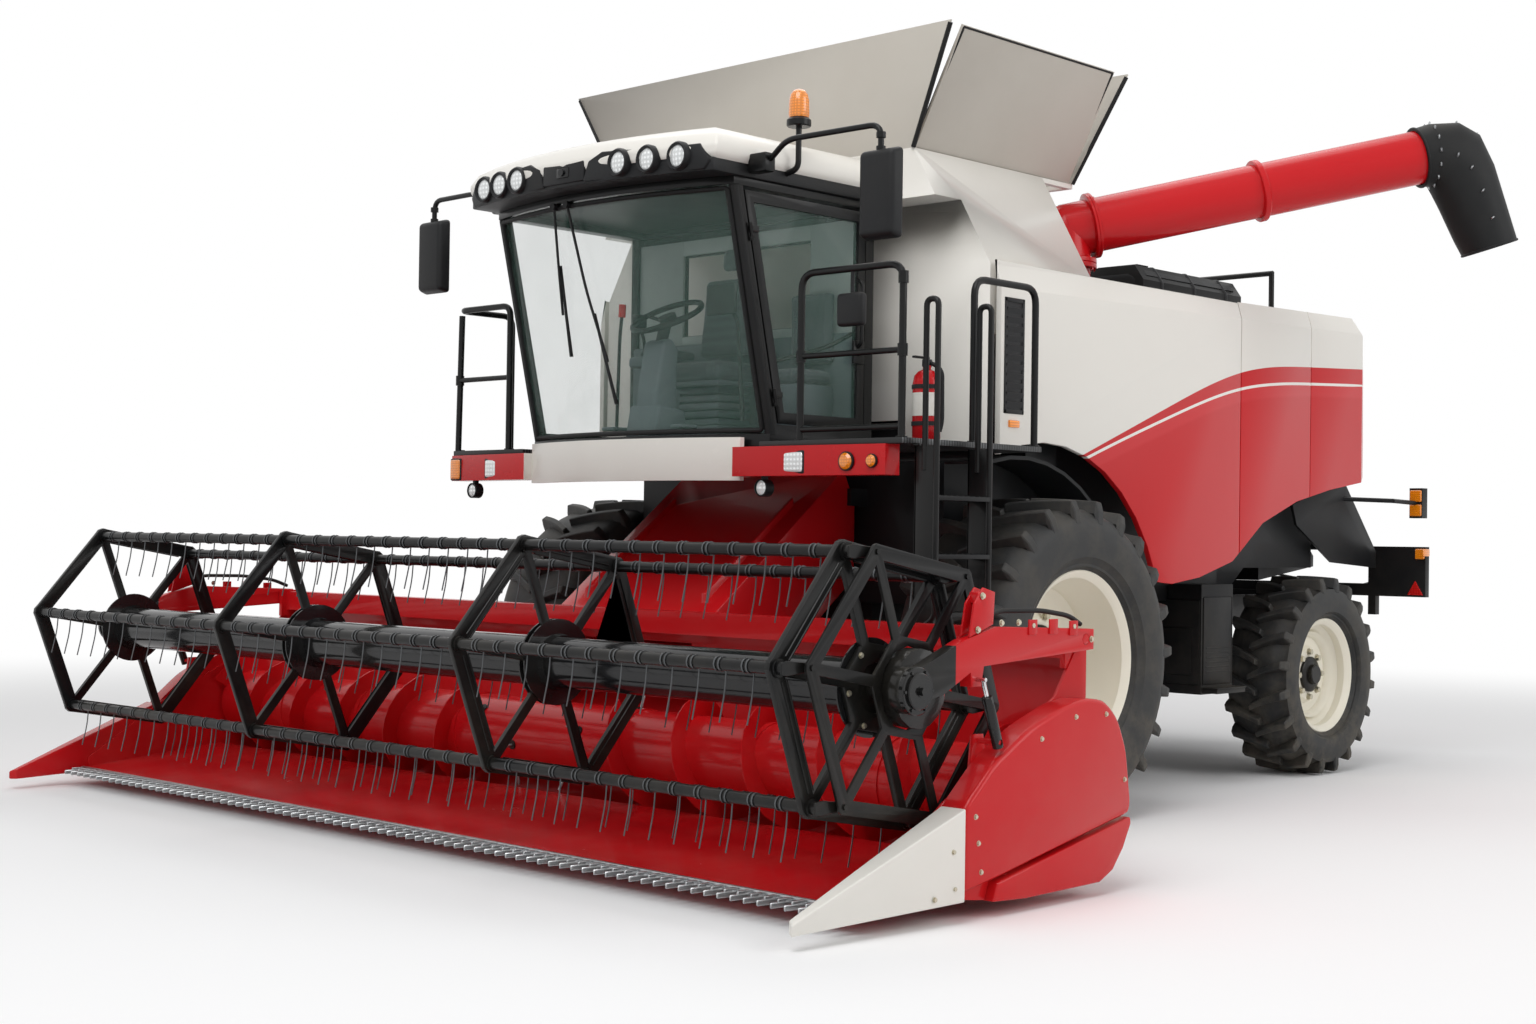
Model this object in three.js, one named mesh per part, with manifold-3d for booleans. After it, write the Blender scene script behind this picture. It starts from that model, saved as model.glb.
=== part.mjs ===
// Self-propelled combine harvester with a grain header.
// Millimetres. The machine faces -Y, its left side is +X, up is +Z, and the ground is Z = 0.
// Pieces are drawn about the front axle's centre line, then the whole machine is moved so that
// its origin is the middle of its footprint.

import * as THREE from 'three';
import { mergeVertices } from 'three/addons/utils/BufferGeometryUtils.js';
import Module from 'manifold-3d';

const wasm = await Module();
wasm.setup();

// ---------------------------------------------------------------- driving dimensions

const seat = 0.3;                 // gap left between pieces that touch
const pinPlay = 0.3;              // radial play of a pin in its eye
const swingGap = 8;               // gap round a door or lid

const wheelbase = 3460;
const frontTyreRadius = 900;
const frontTyreWidth = 720;
const frontTrackHalf = 1690;
const frontRimRadius = 490;
const rearTyreRadius = 675;
const rearTyreWidth = 480;
const rearTrackHalf = 1420;
const rearRimRadius = 370;
const rimWall = 18;
const rimFlange = 20;
const kingpinX = 1050;
const kingpinRadius = 60;
const kingpinHeight = 270;

const bodyHalf = 1650;            // outside of the side panels
const panelThickness = 38;
const bodyFrontY = -290;
const panelSeamY = 2240;
const bodyRearY = 4240;
const bodyTopZ = 3110;
const archCentreY = 150;          // side panels' cut round the front wheel
const archRadius = frontTyreRadius + 315;
const fenderRadius = frontTyreRadius + 218;
const fenderThickness = 22;

const beamInnerX = 600;
const beamOuterX = 690;
const beamHeight = 180;
const axleTubeRadius = 110;
const frameRearY = 4880;
const lampBarHalf = 1640;

const housingHalf = 1240;
const housingTopZ = 2250;
const strawHoodFloorZ = 1400;
const strawHoodTopZ = 2950;
const strawHoodRearY = 3990;

const tankWall = 25;
const tankHalf = 1570;
const tankRimHalf = 1200;
const tankRimZ = 3740;
const tankFrontY = -520;
const tankRearY = 1000;
const tankBottomZ = housingTopZ + seat;
const flapRise = 640;
const flapSpread = 330;
const flapThickness = 14;
const endFlapLean = 100;

const augerX = 1170;              // unloading auger's swing axis
const augerY = 960;
const augerElbowZ = 3450;
const augerTubeRadius = 165;
const augerTubeLength = 2270;
const augerRise = 13;             // degrees
const augerYaw = 47;              // degrees from +X towards +Y, as parked

const cabHalf = 970;
const cabFloorZ = 2110;
const cabFloorThickness = 70;
const doorSill = 52;
const cabTopZ = 3400;
const cabFrontY = -1400;
const cabRearY = -570;
const cabBow = 160;               // how far the windscreen bows forward
const cabLean = 0.231;            // forward lean of the windscreen, run over rise
const pillarWidth = 60;
const glassThickness = 8;
const roofHalf = 1020;
const roofHeight = 300;

const platformX = 1960;
const platformFrontY = -1490;
const platformRearY = -330;
const railRadius = 19;
const railTopZ = 2930;

const headerHalf = 3270;
const shieldThickness = 130;
const headerPlate = 14;
const headerInner = headerHalf - shieldThickness - headerPlate;
const headerBackY = -1600;
const headerBackTopZ = 1050;
const headerFloorZ = 105;
const knifeY = -3110;
const guardTipY = -3200;
const dividerTipY = -3560;
const headerAugerY = -1990;
const headerAugerZ = 465;
const headerAugerDrum = 200;
const headerAugerFlight = 300;
const flightPitch = 480;

const reelY = -2885;
const reelZ = 955;
const reelRadius = 590;
const reelPhase = -10;            // degrees from +Y to the first bat, as parked
const reelHalf = headerInner - 86;
const reelTubeRadius = 118;
const reelShaftRadius = 40;
const batCount = 6;
const batRadius = 26;
const starOuterX = reelHalf - 50;
const starInnerX = 1000;
const starXs = [-starOuterX, -starInnerX, starInnerX, starOuterX];
const starThickness = 26;
const eccentricOffset = 110;
const reelPivotY = -1700;
const reelPivotZ = 1130;
const reelPivotPin = 24;
const armInnerX = headerInner + 20;
const armThickness = 60;
const armOuterX = armInnerX + armThickness;

const feederHalf = 640;
const feederPivotY = -350;
const feederPivotZ = 1800;

const liftFoot = [-225, 740];     // header lift cylinders, as Y and Z of their pins
const liftEye = [-1150, 585];
const liftX = 450;
const liftPin = 25;
const liftRod = 25;
const liftPinEnd = 24;             // how far the rods' cross pin stands past each rod's middle
const reelFoot = [-2380, 722];    // reel lift cylinders, as Y and Z of their pins
const reelEye = [-2480, 985];
const reelLiftX = armOuterX + 32;

// ---------------------------------------------------------------- solids

function toSolid(geometry) {
  const bare = geometry.clone();
  bare.deleteAttribute('normal');
  bare.deleteAttribute('uv');
  const merged = mergeVertices(bare, 1e-3);
  const position = merged.attributes.position.array;
  const index = merged.index.array;
  let triangles = [];
  let volume = 0;
  const corner = [new THREE.Vector3(), new THREE.Vector3(), new THREE.Vector3()];
  for (let i = 0; i < index.length; i += 3) {
    const [a, b, c] = [index[i], index[i + 1], index[i + 2]];
    if (a === b || b === c || c === a) continue;
    triangles.push(a, b, c);
    [a, b, c].forEach((vertex, k) => corner[k].fromArray(position, 3 * vertex));
    volume += corner[0].dot(corner[1].cross(corner[2]));
  }
  if (volume < 0) triangles = triangles.reverse();
  return new wasm.Manifold(new wasm.Mesh({
    numProp: 3,
    vertProperties: new Float32Array(position),
    triVerts: new Uint32Array(triangles),
  }));
}

const join = (...solids) => solids.reduce((whole, piece) => whole.add(piece));
const cut = (whole, ...tools) => tools.reduce((rest, tool) => rest.subtract(tool), whole);

function slab(x0, x1, y0, y1, z0, z1) {
  const box = new THREE.BoxGeometry(x1 - x0, y1 - y0, z1 - z0);
  return toSolid(box.translate((x0 + x1) / 2, (y0 + y1) / 2, (z0 + z1) / 2));
}

const outlineOf = (points) => new THREE.Shape(points.map(([a, b]) => new THREE.Vector2(a, b)));

// Extrudes an outline drawn across an axis: Y,Z for 'x', X,Z for 'y' and X,Y for 'z'.
function prism(axis, points, from, to, bevel = null, holes = []) {
  const settings = { depth: to - from, bevelEnabled: false, ...bevel };
  const shape = outlineOf(points);
  shape.holes = holes.map(outlineOf);
  const geometry = new THREE.ExtrudeGeometry(shape, settings);
  const turn = new THREE.Matrix4();
  if (axis === 'x') {
    turn.makeBasis(
      new THREE.Vector3(0, 1, 0), new THREE.Vector3(0, 0, 1), new THREE.Vector3(1, 0, 0));
    turn.setPosition(from, 0, 0);
  } else if (axis === 'y') {
    turn.makeBasis(
      new THREE.Vector3(1, 0, 0), new THREE.Vector3(0, 0, 1), new THREE.Vector3(0, -1, 0));
    turn.setPosition(0, to, 0);
  } else {
    turn.setPosition(0, 0, from);
  }
  return toSolid(geometry.applyMatrix4(turn));
}

// Leans an upright prism drawn at the cab floor forward with the windscreen.
function leaningPrism(points, z0, z1) {
  const geometry = new THREE.ExtrudeGeometry(outlineOf(points), { depth: z1 - z0, bevelEnabled: false });
  geometry.translate(0, 0, z0 - cabFloorZ);
  geometry.applyMatrix4(new THREE.Matrix4().set(1, 0, 0, 0, 0, 1, -cabLean, 0, 0, 0, 1, 0, 0, 0, 0, 1));
  return toSolid(geometry.translate(0, 0, cabFloorZ));
}

function rod(start, end, radius, sides = 8) {
  const from = new THREE.Vector3(...start);
  const along = new THREE.Vector3(...end).sub(from);
  const geometry = new THREE.CylinderGeometry(radius, radius, along.length(), sides);
  geometry.translate(0, along.length() / 2, 0);
  const up = new THREE.Vector3(0, 1, 0);
  geometry.applyQuaternion(new THREE.Quaternion().setFromUnitVectors(up, along.normalize()));
  return toSolid(geometry.translate(from.x, from.y, from.z));
}

// A bent tube: straight rods that run a little past each bend.
function pipe(points, radius, sides = 6) {
  const ends = points.map((point) => new THREE.Vector3(...point));
  const lengths = points.slice(1).map((_, i) => {
    const past = ends[i + 1].clone().sub(ends[i]).setLength(radius * 0.6);
    const from = i === 0 ? ends[i] : ends[i].clone().sub(past);
    const to = i === points.length - 2 ? ends[i + 1] : ends[i + 1].clone().add(past);
    return rod(from.toArray(), to.toArray(), radius, sides);
  });
  return join(...lengths);
}

// Turns a profile of [radius, distance along X] round the X axis.
function turned(profile, segments) {
  const points = profile.map(([radius, x]) => new THREE.Vector2(radius, x));
  return toSolid(new THREE.LatheGeometry(points, segments).rotateZ(-Math.PI / 2));
}

const pinSides = 16;
const eyeRadius = (pinRadius, sides = 8) => (pinRadius + pinPlay) / Math.cos(Math.PI / sides);

function arc(centreA, centreB, radius, fromDeg, toDeg, steps) {
  return Array.from({ length: steps + 1 }, (_, i) => {
    const angle = THREE.MathUtils.degToRad(fromDeg + (toDeg - fromDeg) * i / steps);
    return [centreA + radius * Math.cos(angle), centreB + radius * Math.sin(angle)];
  });
}

const mirrored = (solid) => {
  const mesh = solid.getMesh();
  const vertices = Float32Array.from(mesh.vertProperties, (value, i) => (i % 3 === 0 ? -value : value));
  const triangles = Uint32Array.from(mesh.triVerts).reverse();
  return new wasm.Manifold(new wasm.Mesh({ numProp: 3, vertProperties: vertices, triVerts: triangles }));
};

const onSide = (side, solid) => (side > 0 ? solid : mirrored(solid));
const sideName = (side) => (side > 0 ? 'left' : 'right');

// ---------------------------------------------------------------- finishes and placing

const paint = {
  red: [0xc4161c, 0.3, 0.05],
  white: [0xe9e6df, 0.32, 0.0],
  cream: [0xe6dfc8, 0.4, 0.0],
  black: [0x17181a, 0.45, 0.1],
  grey: [0x3b3e42, 0.55, 0.1],
  sheet: [0xb9b6ad, 0.45, 0.4],
  tyre: [0x141416, 0.9, 0.0],
  steel: [0x9a9da0, 0.35, 0.9],
  chrome: [0xd5d7da, 0.12, 1.0],
  fabric: [0x2c3033, 0.9, 0.0],
};

const machine = new THREE.Group();

function place(name, solid, finish, group = machine) {
  const mesh = solid.getMesh();
  const geometry = new THREE.BufferGeometry();
  geometry.setAttribute('position', new THREE.BufferAttribute(new Float32Array(mesh.vertProperties), 3));
  geometry.setIndex(new THREE.BufferAttribute(new Uint32Array(mesh.triVerts), 1));
  const [color, roughness, metalness] = finish;
  const material = new THREE.MeshStandardMaterial({ color, roughness, metalness, flatShading: true });
  const node = new THREE.Mesh(geometry, material);
  node.name = name;
  group.add(node);
}

function groupAt(x, y, z, parent = machine) {
  const group = new THREE.Group();
  group.position.set(x, y, z);
  parent.add(group);
  return group;
}

// ---------------------------------------------------------------- wheels and axles

const wheelSides = 24;

function tyre(radius, width, rimRadius) {
  const half = width / 2;
  const beadHalf = half - 2 * rimFlange - 42;
  return turned([
    [rimRadius + seat, -beadHalf],
    [rimRadius + 50, -beadHalf],
    [(radius + rimRadius) / 2, -half],
    [radius, -half + 60],
    [radius, half - 60],
    [(radius + rimRadius) / 2, half],
    [rimRadius + 50, beadHalf],
    [rimRadius + seat, beadHalf],
    [rimRadius + seat, -beadHalf],
  ], wheelSides);
}

function rim(width, rimRadius, discX) {
  const half = width / 2 - rimFlange - 40;
  const inner = rimRadius - rimWall;
  const flange = rimRadius + rimFlange;
  return turned([
    [0, discX],
    [inner * 0.6, discX],
    [inner, discX + 30],
    [inner, -half],
    [flange, -half],
    [flange, -half + rimFlange],
    [rimRadius, -half + rimFlange],
    [rimRadius, half - rimFlange],
    [flange, half - rimFlange],
    [flange, half],
    [inner, half],
    [inner, discX + 30 + rimWall],
    [inner * 0.6, discX + rimWall],
    [0, discX + rimWall],
  ], wheelSides);
}

const frontDiscX = -30;           // rim disc, outward from the tyre's middle
const rearDiscX = 20;

for (const side of [1, -1]) {
  const wheel = groupAt(side * frontTrackHalf, 0, frontTyreRadius);
  const name = `front_${sideName(side)}`;
  place(`${name}_tyre`, tyre(frontTyreRadius, frontTyreWidth, frontRimRadius), paint.tyre, wheel);
  place(`${name}_rim`, onSide(side, rim(frontTyreWidth, frontRimRadius, frontDiscX)), paint.cream, wheel);
}

for (const side of [1, -1]) {
  const wheel = groupAt(side * rearTrackHalf, wheelbase, rearTyreRadius);
  const name = `rear_${sideName(side)}`;
  place(`${name}_tyre`, tyre(rearTyreRadius, rearTyreWidth, rearRimRadius), paint.tyre, wheel);
  place(`${name}_rim`, onSide(side, rim(rearTyreWidth, rearRimRadius, rearDiscX)), paint.cream, wheel);
}

// Cross tube, a gear case at each end, hub spindles, and lugs for the header's lift cylinders.
function frontAxle() {
  const z = frontTyreRadius;
  const hubX = frontTrackHalf + frontDiscX - seat;
  const caseOuterX = frontTrackHalf - frontTyreWidth / 2 - 30;
  const lug = (x) => {
    const plate = prism('x', [
      [liftFoot[0] - 45, liftFoot[1] - 40], [liftFoot[0] + 60, liftFoot[1] - 45],
      [0, z - 90], [0, z + 60], [-60, z + 60], [liftFoot[0] - 45, liftFoot[1] + 45],
    ], x, x + 22);
    const eye = rod(
      [x - 1, ...liftFoot], [x + 23, ...liftFoot], eyeRadius(liftPin, pinSides), pinSides);
    return cut(plate, eye);
  };
  const end = join(
    slab(caseOuterX - 150, caseOuterX, -190, 190, z - 170, z + 230),
    rod([caseOuterX - 10, 0, z], [hubX, 0, z], 120, 14),
    rod([caseOuterX - 1, 0, z], [caseOuterX + 120, 0, z], 165, 14),
    lug(liftX + 60),
  );
  return join(rod([-caseOuterX + 5, 0, z], [caseOuterX - 5, 0, z], axleTubeRadius, 12), end, mirrored(end));
}

// Steering axle beam with a kingpin fork at each end.
function rearAxle() {
  const z = rearTyreRadius;
  const forkX = kingpinX - kingpinRadius - 25;
  const beam = slab(-forkX, forkX, wheelbase - 80, wheelbase + 80, z - 75, z + 75);
  const forkEnd = kingpinX + kingpinRadius;
  const half = kingpinHeight / 2;
  const fork = join(
    slab(forkX - 40, forkX, wheelbase - 70, wheelbase + 70, z - half - 30, z + half + 30),
    slab(forkX - 40, forkEnd, wheelbase - 70, wheelbase + 70, z + half, z + half + 30),
    slab(forkX - 40, forkEnd, wheelbase - 70, wheelbase + 70, z - half - 30, z - half),
  );
  const pivot = slab(-160, 160, wheelbase - 70, wheelbase + 70, z, z + 90 - seat);
  return join(beam, fork, mirrored(fork), pivot);
}

function knuckle() {
  const z = rearTyreRadius;
  const half = kingpinHeight / 2 - seat;
  const spindleEnd = rearTrackHalf + rearDiscX - seat;
  return join(
    rod([kingpinX, wheelbase, z - half], [kingpinX, wheelbase, z + half], kingpinRadius - 8, 12),
    rod([kingpinX, wheelbase, z], [spindleEnd, wheelbase, z], 48, 10),
    rod([spindleEnd - 60, wheelbase, z], [spindleEnd, wheelbase, z], 95, 12),
    slab(kingpinX - 20, kingpinX + 20, wheelbase - 190, wheelbase, z - 20, z + 20),
  );
}

place('front_axle', frontAxle(), paint.black);
place('rear_axle', rearAxle(), paint.black);
for (const side of [1, -1]) {
  place(`rear_${sideName(side)}_knuckle`, onSide(side, knuckle()), paint.black);
}

// ---------------------------------------------------------------- chassis

const beamBottomZ = frontTyreRadius + axleTubeRadius + seat;
const beamTopZ = beamBottomZ + beamHeight;
const frameFrontY = -230;
const tailY = frameRearY + 110;
const lampPanelTopZ = 1560;
const lampPanelBottomZ = 1190;

function chassisFrame() {
  const beam = slab(beamInnerX, beamOuterX, frameFrontY, frameRearY, beamBottomZ, beamTopZ);
  const cross = (y) => slab(-beamOuterX, beamOuterX, y, y + 90, beamBottomZ, beamTopZ);
  const saddleTopZ = beamBottomZ + 60;
  const saddle = slab(-160, 160, wheelbase - 70, wheelbase + 70, rearTyreRadius + 90, saddleTopZ);
  const postX = 1190;
  const post = slab(postX, postX + 60, frameRearY, frameRearY + 60, beamBottomZ + 40, lampPanelTopZ);
  const lampPanel = join(
    slab(postX, lampBarHalf, frameRearY, frameRearY + 60, lampPanelBottomZ, lampPanelTopZ), post);
  const lampBar = slab(-lampBarHalf, lampBarHalf, frameRearY, frameRearY + 60, beamTopZ, beamTopZ + 90);
  const rearMember = slab(
    -beamOuterX, beamOuterX, frameRearY - 60, frameRearY + 60, beamBottomZ, beamTopZ + 20);
  const hitch = slab(-90, 90, frameRearY + 40, tailY, beamBottomZ - 40, beamTopZ + 20);
  return join(
    beam, mirrored(beam), cross(frameFrontY), cross(1500), cross(wheelbase - 45), saddle, rearMember,
    lampBar, lampPanel, mirrored(lampPanel), hitch, sideBox(), mirrored(sideBox()));
}

// Box hung from the beam between the wheels, with a step in front of its foot.
function sideBox() {
  const [frontY, rearY] = [2040, 2420];
  const outerX = 1500;
  const box = prism('y', [
    [1120, 600], [outerX, 600], [outerX, beamTopZ + 110], [housingHalf + 14, beamTopZ + 110],
    [housingHalf + 14, beamTopZ - 20], [1120, beamTopZ - 20],
  ], frontY, rearY);
  const arm = slab(beamOuterX - 1, 1130, frontY + 40, rearY - 40, beamBottomZ + 20, beamTopZ - 40);
  const step = slab(outerX - 60, outerX + 110, frontY + 20, rearY - 20, 610, 640);
  return join(box, arm, step);
}

place('chassis_frame', chassisFrame(), paint.black);

// ---------------------------------------------------------------- body core

// Threshing housing and straw walker hood, with the front wheels' fenders.
function threshingHousing() {
  const floorZ = beamTopZ + seat;
  const core = slab(-housingHalf, housingHalf, bodyFrontY + tankWall + 6, 2650, floorZ, housingTopZ);
  const frontWheelGap = 45;
  const innerX = frontTrackHalf - frontTyreWidth / 2 - frontWheelGap;
  const wellX = Math.min(innerX, housingHalf);
  const wheelWell = slab(wellX, housingHalf + 1, -1000, 1000, 0, frontTyreRadius + fenderRadius);
  const straw = prism('x', [
    [2600, floorZ], [2780, floorZ], [3060, strawHoodFloorZ],
    [strawHoodRearY, strawHoodFloorZ], [strawHoodRearY, 2500], [3700, strawHoodTopZ],
    [2720, strawHoodTopZ], [2600, housingTopZ - 1],
  ], -housingHalf + 40, housingHalf - 40);
  const sheet = prism('x', [
    ...arc(0, frontTyreRadius, fenderRadius, 24, 104, 9),
    ...arc(0, frontTyreRadius, fenderRadius + fenderThickness, 104, 24, 9),
  ], innerX - 30, bodyHalf - panelThickness - 30);
  const underside = prism('x', arc(0, frontTyreRadius, fenderRadius + 4, 0, 360, 40), 0, 2000);
  const bracketZ = frontTyreRadius + fenderRadius - 58;
  const bracket = cut(slab(wellX - 40, 1500, 150, 450, bracketZ, housingTopZ - 20), underside);
  const fender = join(sheet, bracket);
  const pivotLug = slab(
    feederHalf + seat, feederHalf + 30, feederPivotY - 50, bodyFrontY + tankWall + 16,
    feederPivotZ - 50, feederPivotZ + 50);
  return join(
    cut(core, wheelWell, mirrored(wheelWell)), straw, fender, mirrored(fender), pivotLug, mirrored(pivotLug));
}

place('threshing_housing', threshingHousing(), paint.grey);

// ---------------------------------------------------------------- grain tank

const notchX = augerX - augerTubeRadius - 110;
const notchY = augerY - augerTubeRadius - 110;

function tankOutline(inset) {
  const bottomHalf = 700 - inset * 0.4;
  const half = tankHalf - inset;
  const rim = tankRimHalf - inset;
  const top = tankRimZ + (inset > 0 ? 1 : 0);
  return [
    [-half, 2700], [-bottomHalf, tankBottomZ + inset], [bottomHalf, tankBottomZ + inset], [half, 2700],
    [half, bodyTopZ - 20], [rim, top], [-rim, top], [-half, bodyTopZ - 20],
  ];
}

// Hollow hopper with a front bulkhead, a corner left out for the unloading elbow,
// and its fixed front and rear extension sheets.
function grainTank() {
  const lowerFrontY = bodyFrontY;
  const outer = cut(
    prism('y', tankOutline(0), tankFrontY, tankRearY),
    slab(-2000, 2000, tankFrontY - 1, lowerFrontY, 2000, 3420 + 40),
  );
  const hollow = cut(
    prism('y', tankOutline(tankWall), tankFrontY + tankWall, tankRearY - tankWall),
    slab(-2000, 2000, tankFrontY - 1, lowerFrontY + tankWall, 2000, 3420 + 40 + tankWall),
    slab(notchX - tankWall, 2000, notchY - tankWall, 2000, 2000, 4000),
  );
  const notch = slab(notchX, 2000, notchY, 2000, 2000, 4000);
  const shell = cut(outer, notch, hollow);
  const bulkhead = cut(
    slab(-tankHalf, tankHalf, lowerFrontY, lowerFrontY + tankWall, 2080, bodyTopZ - 60),
    slab(-cabHalf + 40, cabHalf - 40, lowerFrontY - 1, lowerFrontY + tankWall + 1, 2000, 2240));
  const rimBand = cut(
    slab(-tankRimHalf, tankRimHalf, tankFrontY, tankRearY, tankRimZ - 30, tankRimZ),
    slab(-tankRimHalf + 40, tankRimHalf - 40, tankFrontY + 40, tankRearY - 40, tankRimZ - 40, tankRimZ + 1));
  const sheet = (y, lean) => {
    const top = tankRimHalf + flapSpread;
    const points = [
      [-tankRimHalf, 0], [tankRimHalf, 0], [top, flapRise], [-top, flapRise],
    ];
    const stretch = Math.hypot(lean, flapRise) / flapRise;
    const outline = outlineOf(points.map(([x, z]) => [x, z * stretch]));
    const flat = new THREE.ExtrudeGeometry(outline, { depth: flapThickness, bevelEnabled: false });
    flat.rotateX(Math.PI / 2 - Math.atan2(lean, flapRise));
    return toSolid(flat.translate(0, y + flapThickness, tankRimZ - 2));
  };
  const frontSheet = sheet(tankFrontY + 2, -endFlapLean);
  const rearSheet = sheet(tankRearY - flapThickness - 2, endFlapLean);
  const panelRail = slab(
    tankHalf - 20, bodyHalf - panelThickness - seat, bodyFrontY + 60, notchY - 60,
    bodyTopZ - 60, bodyTopZ - 30);
  return join(shell, bulkhead, rimBand, frontSheet, rearSheet, panelRail, mirrored(panelRail));
}

place('grain_tank', grainTank(), paint.white);

// Folding side extension, hinged along the tank's rim.
function tankFlap() {
  const length = Math.hypot(flapRise, flapSpread);
  const across = [flapRise / length, -flapSpread / length];
  const up = [flapSpread / length, flapRise / length];
  const pinRadius = 9;
  const base = [tankRimHalf - flapThickness - 6, tankRimZ + pinRadius + seat + 2];
  const point = (a, b) => [base[0] + up[0] * a + across[0] * b, base[1] + up[1] * a + across[1] * b];
  const end = length - 12;
  const outline = [point(0, 0), point(0, flapThickness), point(end, flapThickness), point(end, 0)];
  const sheet = prism('y', outline, tankFrontY + 30, tankRearY - 30);
  const [pinX, pinZ] = [base[0] + 2, base[1] - 2];
  const hinge = rod([pinX, tankFrontY + 60, pinZ], [pinX, tankRearY - 60, pinZ], pinRadius);
  return join(sheet, hinge);
}

for (const side of [1, -1]) {
  place(`tank_flap_${sideName(side)}`, onSide(side, tankFlap()), paint.sheet);
}

// ---------------------------------------------------------------- engine and deck

const deckZ = 3040;
const deckThickness = 26;
const deckFrontY = tankRearY + 8;
const deckRearY = 3690;

place('engine', slab(-560, 560, 1240, 2440, housingTopZ + seat, deckZ - 60), paint.grey);

// Walking deck over the engine with the air intake box, the cooling box and the rear handrail.
function engineDeck() {
  const deck = cut(
    slab(-bodyHalf + panelThickness + 12, bodyHalf - panelThickness - 12, deckFrontY, deckRearY,
      deckZ, deckZ + deckThickness),
    slab(notchX - 10, 2000, deckFrontY - 1, augerY + augerTubeRadius + 110, deckZ - 1, deckZ + 100));
  const hoodLedgeX = bodyHalf - panelThickness - seat;
  const hoodLedge = slab(
    -hoodLedgeX, hoodLedgeX, panelSeamY + 60, deckRearY - 60, deckZ, deckZ + deckThickness);
  const skirt = cut(
    slab(-housingHalf, housingHalf, 1060, 2600, housingTopZ + seat, deckZ + 1),
    slab(-housingHalf + 30, housingHalf - 30, 1090, 2570, housingTopZ - 1, deckZ + 2),
    slab(notchX - 10, 2000, 1000, augerY + augerTubeRadius + 110, housingTopZ - 1, deckZ + 100));
  const top = deckZ + deckThickness;
  const intake = prism('y', [
    [420, top - 2], [900, top - 2], [900, top + 250], [830, top + 350], [490, top + 350], [420, top + 250],
  ], 2250, 3500);
  const cooler = prism('y', [
    [-1450, top - 2], [-560, top - 2], [-560, top + 330], [-1330, top + 330], [-1450, top + 230],
  ], 1320, 2760);
  const railY = deckRearY - 50;
  const railHalf = 1060;
  const rearRail = pipe([
    [-railHalf, railY, top - 2], [-railHalf, railY, top + 420],
    [railHalf, railY, top + 420], [railHalf, railY, top - 2],
  ], railRadius);
  const middlePost = rod([0, railY, top - 2], [0, railY, top + 420], railRadius, 8);
  return join(deck, hoodLedge, skirt, intake, cooler, rearRail, middlePost);
}

place('engine_deck', engineDeck(), paint.black);

// ---------------------------------------------------------------- side panels and hood

const archEndDeg = 22;
const lowerEdge = [
  [1300, 1325], [1460, 1312], [1770, 1350], [2160, 1450],
  [2530, 1700], [2970, 1850], [3420, 1940], [4210, 2050],
];

function lowerEdgeZ(y) {
  const next = lowerEdge.findIndex(([edgeY]) => edgeY >= y);
  const [y0, z0] = lowerEdge[next - 1];
  const [y1, z1] = lowerEdge[next];
  return z0 + (z1 - z0) * (y - y0) / (y1 - y0);
}

// Front side panel: hinged along its top edge, cut round the front wheel.
function sidePanel() {
  const frontY = bodyFrontY + 2;
  const rearY = panelSeamY - swingGap / 2;
  const startDeg = THREE.MathUtils.radToDeg(Math.acos((frontY - archCentreY) / archRadius));
  const arch = arc(archCentreY, frontTyreRadius, archRadius, startDeg, archEndDeg, 9);
  const outline = [
    [frontY, bodyTopZ - swingGap], ...arch, ...lowerEdge.filter(([y]) => y < rearY),
    [rearY, lowerEdgeZ(rearY)], [rearY, bodyTopZ - swingGap],
  ];
  const skin = prism('x', outline, bodyHalf - panelThickness, bodyHalf);
  const pressing = prism('x', [
    [bodyFrontY + 240, bodyTopZ - 180], [bodyFrontY + 240, 2300], [900, 2120], [rearY - 200, 1640],
    [rearY - 200, bodyTopZ - 180],
  ], bodyHalf - panelThickness - 1, bodyHalf - panelThickness + 20);
  return cut(skin, pressing);
}

for (const side of [1, -1]) {
  place(`side_panel_${sideName(side)}`, onSide(side, sidePanel()), paint.white);
}

// Rear hood: the rear side walls and the back wall, open below and under the deck.
function rearHood() {
  const frontY = panelSeamY + swingGap / 2;
  const side = [
    [frontY, bodyTopZ], [frontY, lowerEdgeZ(frontY)], ...lowerEdge.filter(([y]) => y > frontY),
    [bodyRearY, 2320], [4060, 2790], [3760, bodyTopZ + 30],
  ];
  const plan = (inset) => {
    const half = bodyHalf - inset;
    const rearHalf = bodyHalf - 190 - inset * 0.4;
    const rear = bodyRearY + 10 - inset;
    return [[half, 0], [half, 3860], [rearHalf, rear], [-rearHalf, rear], [-half, 3860], [-half, 0]];
  };
  const whole = prism('x', side, -bodyHalf, bodyHalf).intersect(prism('z', plan(0), 0, 4000));
  const wall = panelThickness;
  const room = prism('x', [
    [frontY - 10, 4000], [frontY - 10, 1000], [4400, 1000], [4206, 2040], [4200, 2320], [4020, 2780],
    [3720, 3120], [3720, 4000],
  ], -bodyHalf + wall, bodyHalf - wall).intersect(prism('z', plan(wall), 0, 5000));
  return cut(whole, room);
}

place('rear_hood', rearHood(), paint.white);

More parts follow.
